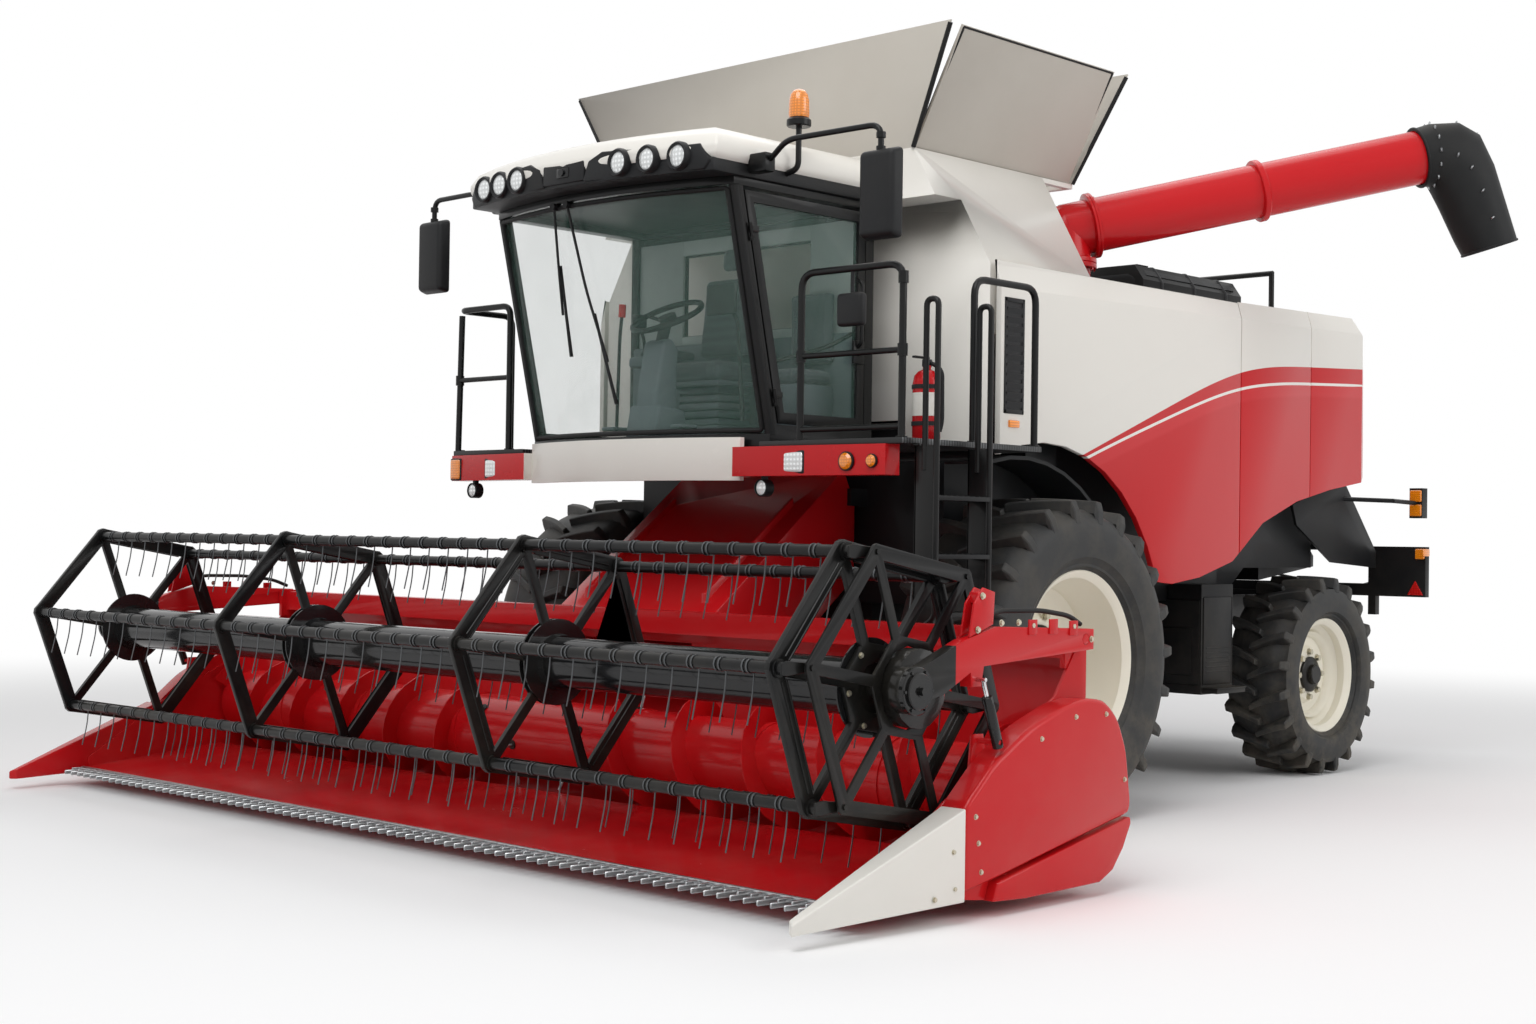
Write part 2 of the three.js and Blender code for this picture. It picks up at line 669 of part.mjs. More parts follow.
// Straw chopper under the hood, with its side wings and the marker lamp arms.
function strawChopper() {
  const frontY = strawHoodRearY + seat;
  const body = prism('x', [
    [frontY, 2030], [4180, 2030], [4640, 1620], [4800, 1480], [4800, 1400], [frontY, 1300],
  ], -780, 780);
  const wing = prism('x', [
    [3560, 1840], [3620, 1700], [4130, 1440], [4800, 1400],
    [4800, 1520], [4330, 2000], [4190, 2036], [3900, 1950],
  ], 1270, 1290);
  const tie = rod([700, 4400, 1560], [1280, 4400, 1560], 32);
  const arm = pipe([[1280, 4300, 1900], [1560, 4520, 1890], [1590, 4840, 1880]], 16);
  const lamp = slab(1540, 1640, 4820, 4900, 1770, 1990);
  const side = join(wing, tie, arm, lamp);
  return join(body, side, mirrored(side));
}

place('straw_chopper', strawChopper(), paint.black);

// ---------------------------------------------------------------- cab

const screenY = (x) => cabFrontY - cabBow * (1 - (x / cabHalf) ** 2);

function bowedOutline(half, rearY, forward = 0, steps = 12) {
  const front = Array.from({ length: steps + 1 }, (_, i) => {
    const x = -half + 2 * half * i / steps;
    return [x, screenY(x * cabHalf / half) - forward];
  });
  return [...front, [half, rearY], [-half, rearY]];
}

const leanAt = (z) => cabLean * (z - cabFloorZ);

function cabFrame() {
  const floor = prism('z', bowedOutline(cabHalf, cabRearY), cabFloorZ - cabFloorThickness, cabFloorZ);
  const topForward = leanAt(cabTopZ);
  const topRing = cut(
    prism('z', bowedOutline(cabHalf, cabRearY, topForward), cabTopZ, cabTopZ + 40),
    prism('z', bowedOutline(cabHalf - 90, cabRearY - 60, topForward - 70), cabTopZ - 1, cabTopZ + 41));
  const innerX = cabHalf - 38;
  const outerX = cabHalf - 3;
  const frontPillar = leaningPrism([
    [innerX, cabFrontY + 4], [outerX, cabFrontY + 4], [outerX, cabFrontY + 70], [innerX, cabFrontY + 70],
  ], cabFloorZ - 10, cabTopZ + 10);
  const rearPillar = slab(
    cabHalf - pillarWidth, outerX, cabRearY - 70, cabRearY - 3, cabFloorZ - 10, cabTopZ + 10);
  const rearWall = cut(
    slab(-cabHalf + 10, cabHalf - 10, cabRearY - 24, cabRearY - 6, cabFloorZ - 12, cabTopZ + 12),
    slab(-520, 520, cabRearY - 30, cabRearY + 10, 2780, 3260));
  const sill = slab(
    cabHalf - 45, outerX, cabFrontY + 60, cabRearY - 30, cabFloorZ - 10, cabFloorZ + doorSill);
  return join(
    floor, topRing, frontPillar, mirrored(frontPillar), rearPillar, mirrored(rearPillar), rearWall,
    sill, mirrored(sill),
    ...doorHingeZs.map(hingePost));
}

// Door hinges, on an axis that leans with the front pillar: a post on the pillar carries the door's barrel.
const doorHingeX = cabHalf + 14;
const doorHingeRadius = 10;
const doorHingeZs = [cabFloorZ + 180, cabFloorZ + 1040];
const doorHingeY = (z) => cabFrontY + 70 - leanAt(z);

function hingePost(z) {
  const y = doorHingeY(z);
  const unit = Math.hypot(1, cabLean);
  const topZ = z - seat / unit;
  return join(
    rod([doorHingeX, doorHingeY(z - 34), z - 34], [doorHingeX, doorHingeY(topZ), topZ], doorHingeRadius),
    slab(cabHalf - 12, doorHingeX, y - 10, y + 3, z - 32, z - 14));
}

function hingeBarrel(z) {
  const y = doorHingeY(z + 30);
  return join(
    rod([doorHingeX, doorHingeY(z), z], [doorHingeX, doorHingeY(z + 60), z + 60], doorHingeRadius),
    slab(cabHalf - 1, doorHingeX, y, y + 60, z + 15, z + 45));
}

place('cab_frame', cabFrame(), paint.black);

function windscreen() {
  const half = cabHalf - 38 - seat;
  const steps = 12;
  const line = (back) => Array.from({ length: steps + 1 }, (_, i) => {
    const x = -half + 2 * half * i / steps;
    return [x, screenY(x) + 12 + back];
  });
  return leaningPrism([...line(0), ...line(glassThickness).reverse()], cabFloorZ + seat, cabTopZ - seat);
}

place('windscreen', windscreen(), paint.chrome);

// Side opening between the leaning front pillar and the upright rear pillar, as Y,Z points.
function sideOpening(inset, headGap = 0) {
  const z0 = cabFloorZ + doorSill + inset;
  const z1 = cabTopZ - headGap - inset;
  const front = (z) => cabFrontY + 70 - leanAt(z) + inset;
  const rear = cabRearY - 70 - inset;
  return [[front(z0), z0], [rear, z0], [rear, z1], [front(z1), z1]];
}

const doorRail = 58;
const doorInset = swingGap + doorRail;
const doorHeadGap = 12;           // the door's top rises a little as it swings on its leaning axis

function cabDoor() {
  const leaf = cut(
    prism('x', sideOpening(swingGap, doorHeadGap), cabHalf - 40, cabHalf),
    prism('x', sideOpening(doorInset, doorHeadGap), cabHalf - 41, cabHalf + 1));
  return join(leaf, ...doorHingeZs.map(hingeBarrel));
}

function sidePane(inset, headGap, outerX) {
  return prism('x', sideOpening(inset + seat, headGap), outerX - glassThickness, outerX);
}

place('cab_door', cabDoor(), paint.black);
place('door_glass', sidePane(doorInset, doorHeadGap, cabHalf - 16), paint.chrome);
place('cab_right_glass', mirrored(sidePane(0, 0, cabHalf - 14)), paint.chrome);

// Roof: a black band that carries the work lights, under a crowned cap.
function cabRoof() {
  const z0 = cabTopZ + 40 + seat;
  const forward = leanAt(cabTopZ);
  const band = prism('z', bowedOutline(roofHalf - 20, -560, forward + 150), z0, z0 + 130);
  const crown = 130;
  const bevelThickness = crown * 0.7;
  const cap = prism(
    'z', bowedOutline(roofHalf - crown, -560 - crown, forward + 180 - crown),
    z0 + 129 + crown * 0.5, z0 + roofHeight - bevelThickness,
    { bevelEnabled: true, bevelThickness, bevelSize: crown, bevelSegments: 3 });
  const skirt = prism('z', bowedOutline(roofHalf, -560, forward + 180), z0 + 90, z0 + 190);
  return join(band, cap, skirt, mirrorArm(1890), mirrored(mirrorArm(1725)));
}

// Mirror on a bent tube from the roof's front corner.
function mirrorArm(headX) {
  const y = -1600;
  const z = cabTopZ + 130;
  const bend = z + 70;
  const tube = pipe([
    [roofHalf - 20, y + 40, z], [1330, y - 40, bend], [headX, y, bend], [headX, y, z - 60],
  ], 14);
  const head = slab(headX - 125, headX + 125, y - 45, y + 40, z - 500, z - 40);
  return join(tube, head);
}

place('cab_roof', cabRoof(), paint.white);

// Operator's seat with its armrest console, and the folding instructor's seat beside it,
// on one base with the steering column.
function cabInterior() {
  const z = cabFloorZ + seat;
  const pedestal = slab(-180, 180, -1010, -700, z, z + 330);
  const cushion = slab(-250, 250, -1080, -640, z + 328, z + 460);
  const back = prism('x', [
    [-760, z + 450], [-640, z + 450], [-610, z + 1010], [-680, z + 1010],
  ], -240, 240);
  const headrest = slab(-130, 130, -690, -625, z + 1000, z + 1170);
  const console = slab(-420, -240, -1180, -700, z + 420, z + 560);
  const secondX = cabHalf - 190;
  const secondWidth = 350;
  const base = slab(-420, secondX, -900, -720, z, z + 40);
  const second = join(
    slab(secondX - secondWidth, secondX, -980, -640, z, z + 400),
    slab(secondX - secondWidth, secondX, -700, -640, z + 390, z + 860));
  const runner = slab(-60, 60, -1400, -890, z, z + 20);
  return join(pedestal, cushion, back, headrest, console, base, second, runner, steeringColumn());
}

// Steering column, leaning back towards the seat, with its wheel.
function steeringColumn() {
  const z = cabFloorZ + seat;
  const column = prism('x', [
    [-1430, z], [-1230, z], [-1240, z + 560], [-1330, z + 560],
  ], -80, 80);
  const wheel = new THREE.TorusGeometry(210, 17, 6, 18);
  wheel.rotateX(THREE.MathUtils.degToRad(28));
  wheel.translate(0, -1245, z + 700);
  const hub = rod([0, -1290, z + 540], [0, -1240, z + 708], 45);
  const spoke = (x, y, dz) => rod([0, -1243, z + 700], [x, -1245 + y, z + 700 + dz], 12, 6);
  return join(column, toSolid(wheel), hub, spoke(205, 0, 0), spoke(-205, 0, 0), spoke(0, -182, -97));
}

place('cab_interior', cabInterior(), paint.grey);

// ---------------------------------------------------------------- bumper, platforms, ladder

const bumperTopZ = 2035;
const bumperBottomZ = 1860;

function frontBumper() {
  const half = cabHalf - 110;
  const apron = cut(
    prism('z', bowedOutline(half, -1480, 110), bumperBottomZ, cabFloorZ - 20),
    prism('z', bowedOutline(half - 40, -1470, 70), bumperBottomZ - 1, bumperTopZ - 40),
    prism('z', bowedOutline(cabHalf + 10, -1000, 6), bumperTopZ - 41, cabFloorZ + 10));
  const end = (outerX) => prism('z', [
    [half - 2, -1570], [outerX, -1500], [outerX, -1390], [half - 2, -1420],
  ], bumperBottomZ + 20, bumperTopZ);
  const beam = slab(-half, half, -1500, -1420, bumperBottomZ + 20, bumperTopZ - 40);
  return join(apron, beam, end(1860), mirrored(end(1640)));
}

place('front_bumper', frontBumper(), paint.red);

const deckPlateZ = bumperTopZ + seat;
const deckPlateTop = deckPlateZ + 30;
const ladderDrop = 10;            // top of the ladder below the platform's underside
const ladderHingeX = platformX + 25;
const ladderHingeY = -1393;

// Boarding platform on the left, its handrails and the bracket that carries the ladder.
function leftPlatform() {
  const x0 = cabHalf + swingGap;
  const plate = slab(x0, platformX, platformFrontY, platformRearY, deckPlateZ, deckPlateTop);
  const y = platformFrontY + railRadius + 4;
  const z = deckPlateTop - 2;
  const frontRail = join(
    pipe([
      [1250, y, z], [1250, y, railTopZ - 30], [1300, y, railTopZ],
      [1890, y, railTopZ], [1935, y, railTopZ - 40], [1935, y, z],
    ], railRadius),
    rod([1250, y, 2500], [1935, y, 2500], railRadius - 4, 8));
  const rearX = platformX - railRadius - 3;
  const rearRail = pipe([
    [rearX, -900, z], [rearX, -900, railTopZ - 60], [rearX, -860, railTopZ - 20],
    [rearX, -420, railTopZ - 20], [rearX, -370, railTopZ - 60], [rearX, -370, z],
  ], railRadius);
  const ladderTopZ = deckPlateZ - ladderDrop;
  const ladderLug = slab(
    platformX - 20, ladderHingeX + 7, ladderHingeY - 11, ladderHingeY + 11,
    ladderTopZ + seat, deckPlateZ + 5);
  return join(plate, frontRail, rearRail, ladderLug);
}

// Narrow ledge and handrail on the right of the cab.
function rightPlatform() {
  const x0 = cabHalf + swingGap;
  const plate = slab(-1640, -x0, -1490, platformRearY, deckPlateZ, deckPlateTop);
  const z = deckPlateTop - 2;
  const rail = join(
    pipe([
      [-1130, -1470, z], [-1130, -1470, railTopZ], [-1580, -1470, railTopZ], [-1618, -1440, railTopZ - 40],
      [-1618, -1100, railTopZ - 40], [-1618, -1060, railTopZ - 80], [-1618, -1060, z],
    ], railRadius),
    rod([-1130, -1470, 2500], [-1618, -1470, 2500], railRadius - 4, 8),
    rod([-1618, -1470, z], [-1618, -1440, railTopZ - 40], railRadius, 8));
  return join(plate, rail);
}

// Cross bearer under the cab, with an arm on each side back to the front of the threshing housing.
function cabBearer() {
  const [z0, z1] = [deckPlateZ - 50, cabFloorZ - cabFloorThickness - seat];
  const bearerRearY = cabRearY - 10;
  const arm = slab(cabHalf - 120, cabHalf - 50, bearerRearY - 1, bodyFrontY + tankWall + 6 - seat, z0, z1);
  return join(slab(-1600, 1750, bearerRearY - 60, bearerRearY, z0, z1), arm, mirrored(arm));
}

place('cab_platforms', join(leftPlatform(), rightPlatform(), cabBearer()), paint.black);

const ladderFrontY = -1400;
const ladderRearY = -960;
const ladderX = platformX + 6;
const ladderStep = 290;
const ladderSteps = 5;

// Boarding ladder, which swings about its front upright.
function boardingLadder() {
  const top = deckPlateZ - ladderDrop;
  const bottom = top - ladderStep * ladderSteps;
  const stile = (y) => slab(ladderX, ladderX + 130, y, y + 14, bottom, top);
  const steps = Array.from({ length: ladderSteps }, (_, i) => {
    const z = bottom + 20 + i * ladderStep;
    return slab(ladderX, ladderX + 150, ladderFrontY + 10, ladderRearY - 10, z, z + 24);
  });
  const handrail = (y) => pipe([
    [ladderX + 60, y, top - 30], [ladderX + 60, y, railTopZ - 180], [ladderX + 150, y, railTopZ - 180],
    [ladderX + 150, y, bottom + 600], [ladderX + 70, y, bottom + 560],
  ], 15, 6);
  return join(stile(ladderFrontY), stile(ladderRearY - 14), ...steps,
    handrail(ladderFrontY + 7), handrail(ladderRearY - 7));
}

place('ladder', boardingLadder(), paint.black);

// ---------------------------------------------------------------- unloading auger

const flangeRadius = augerTubeRadius + 36;
const turnFlangeZ = augerElbowZ - 200;

function unloadingElbow() {
  const bottom = housingTopZ + seat;
  return join(
    rod([augerX, augerY, bottom], [augerX, augerY, turnFlangeZ], augerTubeRadius, 16),
    rod([augerX, augerY, turnFlangeZ - 30], [augerX, augerY, turnFlangeZ], flangeRadius, 16),
    rod([augerX, augerY, bottom], [augerX, augerY, bottom + 30], augerTubeRadius + 40, 16));
}

place('unloading_elbow', unloadingElbow(), paint.red);

// The swinging tube is drawn along +X from the swing axis, then turned to its parked yaw.
const swinging = groupAt(augerX, augerY, 0);
swinging.rotation.z = THREE.MathUtils.degToRad(augerYaw);
const riseSlope = Math.tan(THREE.MathUtils.degToRad(augerRise));
const tubeZ = (x) => augerElbowZ + x * riseSlope;
const tubeEndX = augerTubeLength;

function unloadingTube() {
  const low = turnFlangeZ + seat;
  const bendX = 150;
  return join(
    rod([0, 0, low], [0, 0, low + 30], flangeRadius, 16),
    rod([0, 0, low], [0, 0, augerElbowZ], augerTubeRadius, 16),
    toSolid(new THREE.SphereGeometry(augerTubeRadius, 16, 6).translate(0, 0, augerElbowZ)),
    rod([0, 0, augerElbowZ], [tubeEndX, 0, tubeZ(tubeEndX)], augerTubeRadius, 16),
    rod([bendX, 0, tubeZ(bendX)], [bendX + 36, 0, tubeZ(bendX + 36)], flangeRadius, 16),
    rod([1180, 0, tubeZ(1180)], [1216, 0, tubeZ(1216)], augerTubeRadius + 26, 16));
}

// Rubber spout: a sleeve over the tube's end, a hooded bend and a chute that is open at its mouth.
function unloadingSpout() {
  const sleeve = tubeEndX - 70;
  const hood = tubeEndX + 190;
  const nose = tubeEndX + 330;
  const [sleeveZ, hoodZ, noseZ, endZ] = [sleeve, hood, nose, tubeEndX].map(tubeZ);
  const outline = [
    [sleeve, sleeveZ + 190], [hood, hoodZ + 170], [nose, noseZ + 40], [tubeEndX + 540, noseZ - 600],
    [tubeEndX + 230, noseZ - 700], [tubeEndX, endZ - 200], [sleeve, sleeveZ - 190],
  ];
  const inner = [
    [sleeve - 1, sleeveZ + 169.9], [hood - 10, hoodZ + 150], [nose - 20, noseZ + 32],
    [tubeEndX + 519, noseZ - 606], [tubeEndX + 540, noseZ - 800], [tubeEndX + 200, noseZ - 800],
    [tubeEndX + 252, noseZ - 693], [tubeEndX + 22, endZ - 190], [tubeEndX - 6, endZ - 172],
    [sleeve - 1, sleeveZ - 170.3],
  ];
  const insideHalf = augerTubeRadius + seat;
  const wall = 20;
  return cut(
    prism('y', outline, -insideHalf - wall, insideHalf + wall), prism('y', inner, -insideHalf, insideHalf));
}

place('unloading_tube', unloadingTube(), paint.red, swinging);
place('unloading_spout', unloadingSpout(), paint.black, swinging);

// ---------------------------------------------------------------- feeder house

const feederFrontY = headerBackY + seat;

function feederHouse() {
  const outer = [
    [-430, 1960], [feederFrontY, 1040], [feederFrontY, 330], [-330, 1330], [-330, 1760],
  ];
  const inner = [
    [-440, 1935], [feederFrontY - 1, 1005], [feederFrontY - 1, 365], [-329, 1365], [-329, 1745],
  ];
  const body = cut(
    prism('x', outer, -feederHalf, feederHalf), prism('x', inner, -feederHalf + 12, feederHalf - 12));
  const rib = prism('x', [
    [-700, 1742], [-700, 1790], [-1400, 1250], [-1400, 1180],
  ], -500, -470);
  const lug = prism('x', [
    [liftEye[0] - 60, 720], [liftEye[0] - 40, liftEye[1] - 45],
    [liftEye[0] + 40, liftEye[1] - 45], [liftEye[0] + 70, 800],
  ], liftX + liftRod + seat, liftX + liftRod + 18);
  return join(body, rib, mirrored(rib), lug, mirrored(lug));
}

place('feeder_house', feederHouse(), paint.red);

// ---------------------------------------------------------------- header lift cylinders

// Y,Z points of a cylinder are drawn along local +Y from its foot, then turned towards its eye.
function cylinderGroup(x, foot, eye) {
  const group = groupAt(x, foot[0], foot[1]);
  group.rotation.x = Math.atan2(eye[1] - foot[1], eye[0] - foot[0]);
  return group;
}

const liftLength = Math.hypot(liftEye[0] - liftFoot[0], liftEye[1] - liftFoot[1]);

function liftBarrels() {
  const barrel = cut(
    rod([liftX, -30, 0], [liftX, 610, 0], 48, 12),
    rod([liftX, 30, 0], [liftX, 611, 0], eyeRadius(liftRod, pinSides), pinSides));
  const shaft = rod([-liftX - 75, 0, 0], [liftX + 75, 0, 0], liftPin, pinSides);
  return join(barrel, mirrored(barrel), shaft);
}

function liftRods() {
  const piston = rod([liftX, 160, 0], [liftX, liftLength, 0], liftRod, pinSides);
  const pin = rod([-liftX - liftPinEnd, liftLength, 0], [liftX + liftPinEnd, liftLength, 0], 22, 8);
  return join(piston, mirrored(piston), pin);
}

const lift = cylinderGroup(0, liftFoot, liftEye);
place('lift_cylinder_barrels', liftBarrels(), paint.black, lift);
place('lift_cylinder_rods', liftRods(), paint.chrome, lift);

// ---------------------------------------------------------------- header

const troughRadius = headerAugerFlight + 28;

// Floor, trough and back wall in one sheet, end plates, back beam and the reel arms' pivots.
function headerFrame() {
  const trough = arc(headerAugerY, headerAugerZ, troughRadius, 235, 320, 6);
  const under = arc(headerAugerY, headerAugerZ, troughRadius + 12, 320, 235, 6);
  const sheet = prism('x', [
    [knifeY, headerFloorZ], ...trough, [headerBackY - 14, 500], [headerBackY - 14, headerBackTopZ],
    [headerBackY, headerBackTopZ], [headerBackY, 480], ...under, [knifeY, headerFloorZ - 14],
  ], -headerInner, headerInner);
  const feedOpening = slab(-feederHalf + 20, feederHalf - 20, headerBackY - 60, headerBackY + 5, 400, 990);
  const beamTopZ = headerBackTopZ + 110;
  const beam = slab(
    -headerInner, headerInner, headerBackY - 110, headerBackY, headerBackTopZ - 10, beamTopZ);
  const endOutline = [
    [-3080, 70], [-3080, 160], [-2600, 480], [-2440, 560], [reelFoot[0] - 34, reelFoot[1] + 26],
    [reelFoot[0] + 34, reelFoot[1] + 26], [-2320, 620], [-1830, 880], [-1660, 1110],
    [headerBackY, 1110], [headerBackY, 300], [-1680, 60],
  ];
  const plate = prism('x', endOutline, headerInner - 1, headerInner + headerPlate);
  const skid = prism('x', [
    [-2980, 62], [-2940, 34], [-2300, 34], [-2240, 62], [-2240, 186], [-2980, 112],
  ], 2300, 2440);
  const pivotPin = rod(
    [headerInner, reelPivotY, reelPivotZ], [armOuterX, reelPivotY, reelPivotZ], reelPivotPin, 8);
  const pivotPlate = prism('x', [
    [reelPivotY - 55, 1000], [reelPivotY - 55, reelPivotZ + 40], [reelPivotY + 55, reelPivotZ + 40],
    [headerBackY, 1000],
  ], headerInner - 20, headerInner + headerPlate - 6);
  const pivotBoss = rod(
    [headerInner, reelPivotY, reelPivotZ], [armInnerX - seat, reelPivotY, reelPivotZ], reelPivotPin + 14, 10);
  const footPin = rod([headerInner, ...reelFoot], [reelLiftX + 14, ...reelFoot], 12, 8);
  const side = join(plate, pivotPin, pivotBoss, pivotPlate, skid, footPin);
  return join(cut(sheet, feedOpening), beam, side, mirrored(side));
}

place('header_frame', headerFrame(), paint.red);

// Spiral flight: a strip along the auger whose points are carried round the drum.
function flight(x0, x1, pitch) {
  const turns = Math.abs((x1 - x0) / pitch);
  const steps = Math.round(turns * 7);
  const inner = headerAugerDrum - 6;
  const strip = new THREE.BoxGeometry(x1 - x0, 8, headerAugerFlight - inner, steps, 1, 1);
  strip.translate((x0 + x1) / 2, 0, (headerAugerFlight + inner) / 2);
  const points = strip.attributes.position;
  for (let i = 0; i < points.count; i += 1) {
    const angle = 2 * Math.PI * points.getX(i) / pitch;
    const radius = points.getZ(i);
    points.setXYZ(i, points.getX(i) + points.getY(i), radius * Math.cos(angle), radius * Math.sin(angle));
  }
  return toSolid(strip);
}

function headerAuger() {
  const end = headerInner - 12;
  const drum = toSolid(
    new THREE.CylinderGeometry(headerAugerDrum, headerAugerDrum, 2 * end, 10).rotateZ(-Math.PI / 2));
  const shaftEnd = headerInner - 1 - seat;
  const shaft = rod([-shaftEnd, 0, 0], [shaftEnd, 0, 0], 45, 10);
  const left = flight(feederHalf, end, flightPitch);
  return join(drum, shaft, left, mirrored(left));
}

const headerAugerGroup = groupAt(0, headerAugerY, headerAugerZ);
place('header_auger', headerAuger(), paint.red, headerAugerGroup);

// Cutter bar with its row of pointed guards.
function knifeBar() {
  const pitch = 152.4;
  const count = Math.floor(2 * headerInner / pitch);
  const start = -count * pitch / 2;
  const points = [[start, knifeY - seat]];
  for (let i = 0; i < count; i += 1) {
    const x = start + i * pitch;
    points.push([x, knifeY - 30], [x + pitch / 2 - 14, guardTipY], [x + pitch / 2 + 14, guardTipY]);
  }
  points.push([-start, knifeY - 30], [-start, knifeY - seat]);
  return prism('z', points, headerFloorZ - 32, headerFloorZ + 6);
}

place('knife_bar', knifeBar(), paint.steel);

// End shield over the header's drives, and the pointed crop divider ahead of it.
const shieldFrontY = -2620;

function endShield() {
  const x0 = headerInner + headerPlate + seat;
  const outline = [
    [shieldFrontY, 120], [shieldFrontY, 470], [-2420, 640], [-2180, 770], [-1930, 850], [-1740, 880],
    [-1560, 830], [-1440, 640], [-1410, 400], [-1480, 200], [-1600, 70], [-2200, 55],
  ];
  const block = prism('x', outline, x0, headerHalf);
  const room = prism('x', [
    [shieldFrontY + 40, 160], [shieldFrontY + 40, 440], [-2400, 590], [-1760, 840], [-1590, 790],
    [-1490, 620], [-1450, 400], [-1520, 230], [-1620, 110],
  ], x0 - 1, headerHalf - 20);
  return cut(block, room);
}

function cropDivider() {
  const x0 = headerInner + headerPlate + seat;
  const baseY = shieldFrontY - seat;
  const side = [[baseY, 90], [baseY, 470], [dividerTipY, 105], [dividerTipY, 60]];
  const plan = [[x0, baseY], [headerHalf, baseY], [x0 + 40, dividerTipY], [x0, dividerTipY + 30]];
  return prism('x', side, x0, headerHalf).intersect(prism('z', plan, 0, 500));
}

for (const side of [1, -1]) {
  place(`${sideName(side)}_end_shield`, onSide(side, endShield()), paint.red);
  place(`${sideName(side)}_divider`, onSide(side, cropDivider()), side > 0 ? paint.white : paint.red);
}

// ---------------------------------------------------------------- reel


// Hexagonal plate with six spokes, an eye for each bat and a hole at its hub.
function star(x, ringRadius, holeRadius, pinRadius, thickness) {
  const spokeHalf = 23;
  const rimInner = (reelRadius - 14) * Math.cos(Math.PI / 6) - 17;
  const turn = (deg, along, aside) => {
    const angle = THREE.MathUtils.degToRad(deg);
    const [c, s] = [Math.cos(angle), Math.sin(angle)];
    return [along * c - aside * s, along * s + aside * c];
  };
  const outline = [];
  const holes = [arc(0, 0, holeRadius, 0, 330, 11)];
  for (let i = 0; i < batCount; i += 1) {
    const deg = reelPhase + 360 * i / batCount;
    const [y, z] = turn(deg, reelRadius, 0);
    const spokeEnd = (rimInner - spokeHalf / 2) / Math.cos(Math.PI / 6);
    outline.push(...arc(y, z, pinRadius + 22, deg - 50, deg + 50, 3));
    holes.push(arc(y, z, eyeRadius(pinRadius), deg, deg + 315, 7));
    holes.push([
      turn(deg, ringRadius, spokeHalf), turn(deg, spokeEnd, spokeHalf),
      turn(deg + 60, spokeEnd, -spokeHalf), turn(deg + 60, ringRadius, -spokeHalf),
    ]);
  }
  return prism('x', outline, x - thickness / 2, x + thickness / 2, null, holes);
}

const reel = groupAt(0, reelY, reelZ);
const crankPin = 11;
const crankX = reelHalf + 2;
const eccentricX = crankX + 34;
const eccentricThickness = 14;
const eccentricDiscX = eccentricX - 10;

function reelFrame() {
  const tube = rod([starXs[0], 0, 0], [starXs[3], 0, 0], reelTubeRadius, 12);
  const shaftEnd = armOuterX - 6;
  const shaft = rod([-shaftEnd, 0, 0], [shaftEnd, 0, 0], reelShaftRadius, 12);
  const stars = starXs.map((x) => star(x, 190, reelTubeRadius - 12, batRadius, starThickness));
  const collar = (end) => rod([end - 12, 0, 0], [end, 0, 0], reelShaftRadius + 14, 12);
  const leftCollar = collar(eccentricDiscX - seat);
  const rightCollar = mirrored(collar(armInnerX - seat));
  return join(...stars, tube, shaft, leftCollar, rightCollar);
}

place('reel_frame', reelFrame(), paint.black, reel);

function bat() {
  const tube = rod([-reelHalf, 0, 0], [crankX + 10, 0, 0], batRadius, 8);
  const crank = prism('x', [
    [-batRadius, -26], [eccentricOffset + 18, -16], [eccentricOffset + 18, 16], [-batRadius, 26],
  ], crankX, crankX + 12);
  const pin = rod([crankX + 1, eccentricOffset, 0], [eccentricX + 14, eccentricOffset, 0], crankPin, 8);
  const collarX = starXs[3] + starThickness / 2 + seat;
  const collar = rod([collarX, 0, 0], [collarX + 10, 0, 0], batRadius + 8);
  return join(tube, crank, pin, collar);
}

for (let i = 0; i < batCount; i += 1) {
  const angle = THREE.MathUtils.degToRad(reelPhase + 360 * i / batCount);
  const holder = groupAt(0, reelRadius * Math.cos(angle), reelRadius * Math.sin(angle), reel);
  place(`reel_bat_${i + 1}`, bat(), paint.black, holder);
}

// Eccentric star: turns about a centre behind the reel's own, so that the bats' tines stay upright.
const eccentric = groupAt(0, eccentricOffset, 0, reel);
const eccentricHole = 172;
const eccentricStar = star(eccentricX, 220, eccentricHole, crankPin, eccentricThickness);
place('reel_eccentric', eccentricStar, paint.black, eccentric);

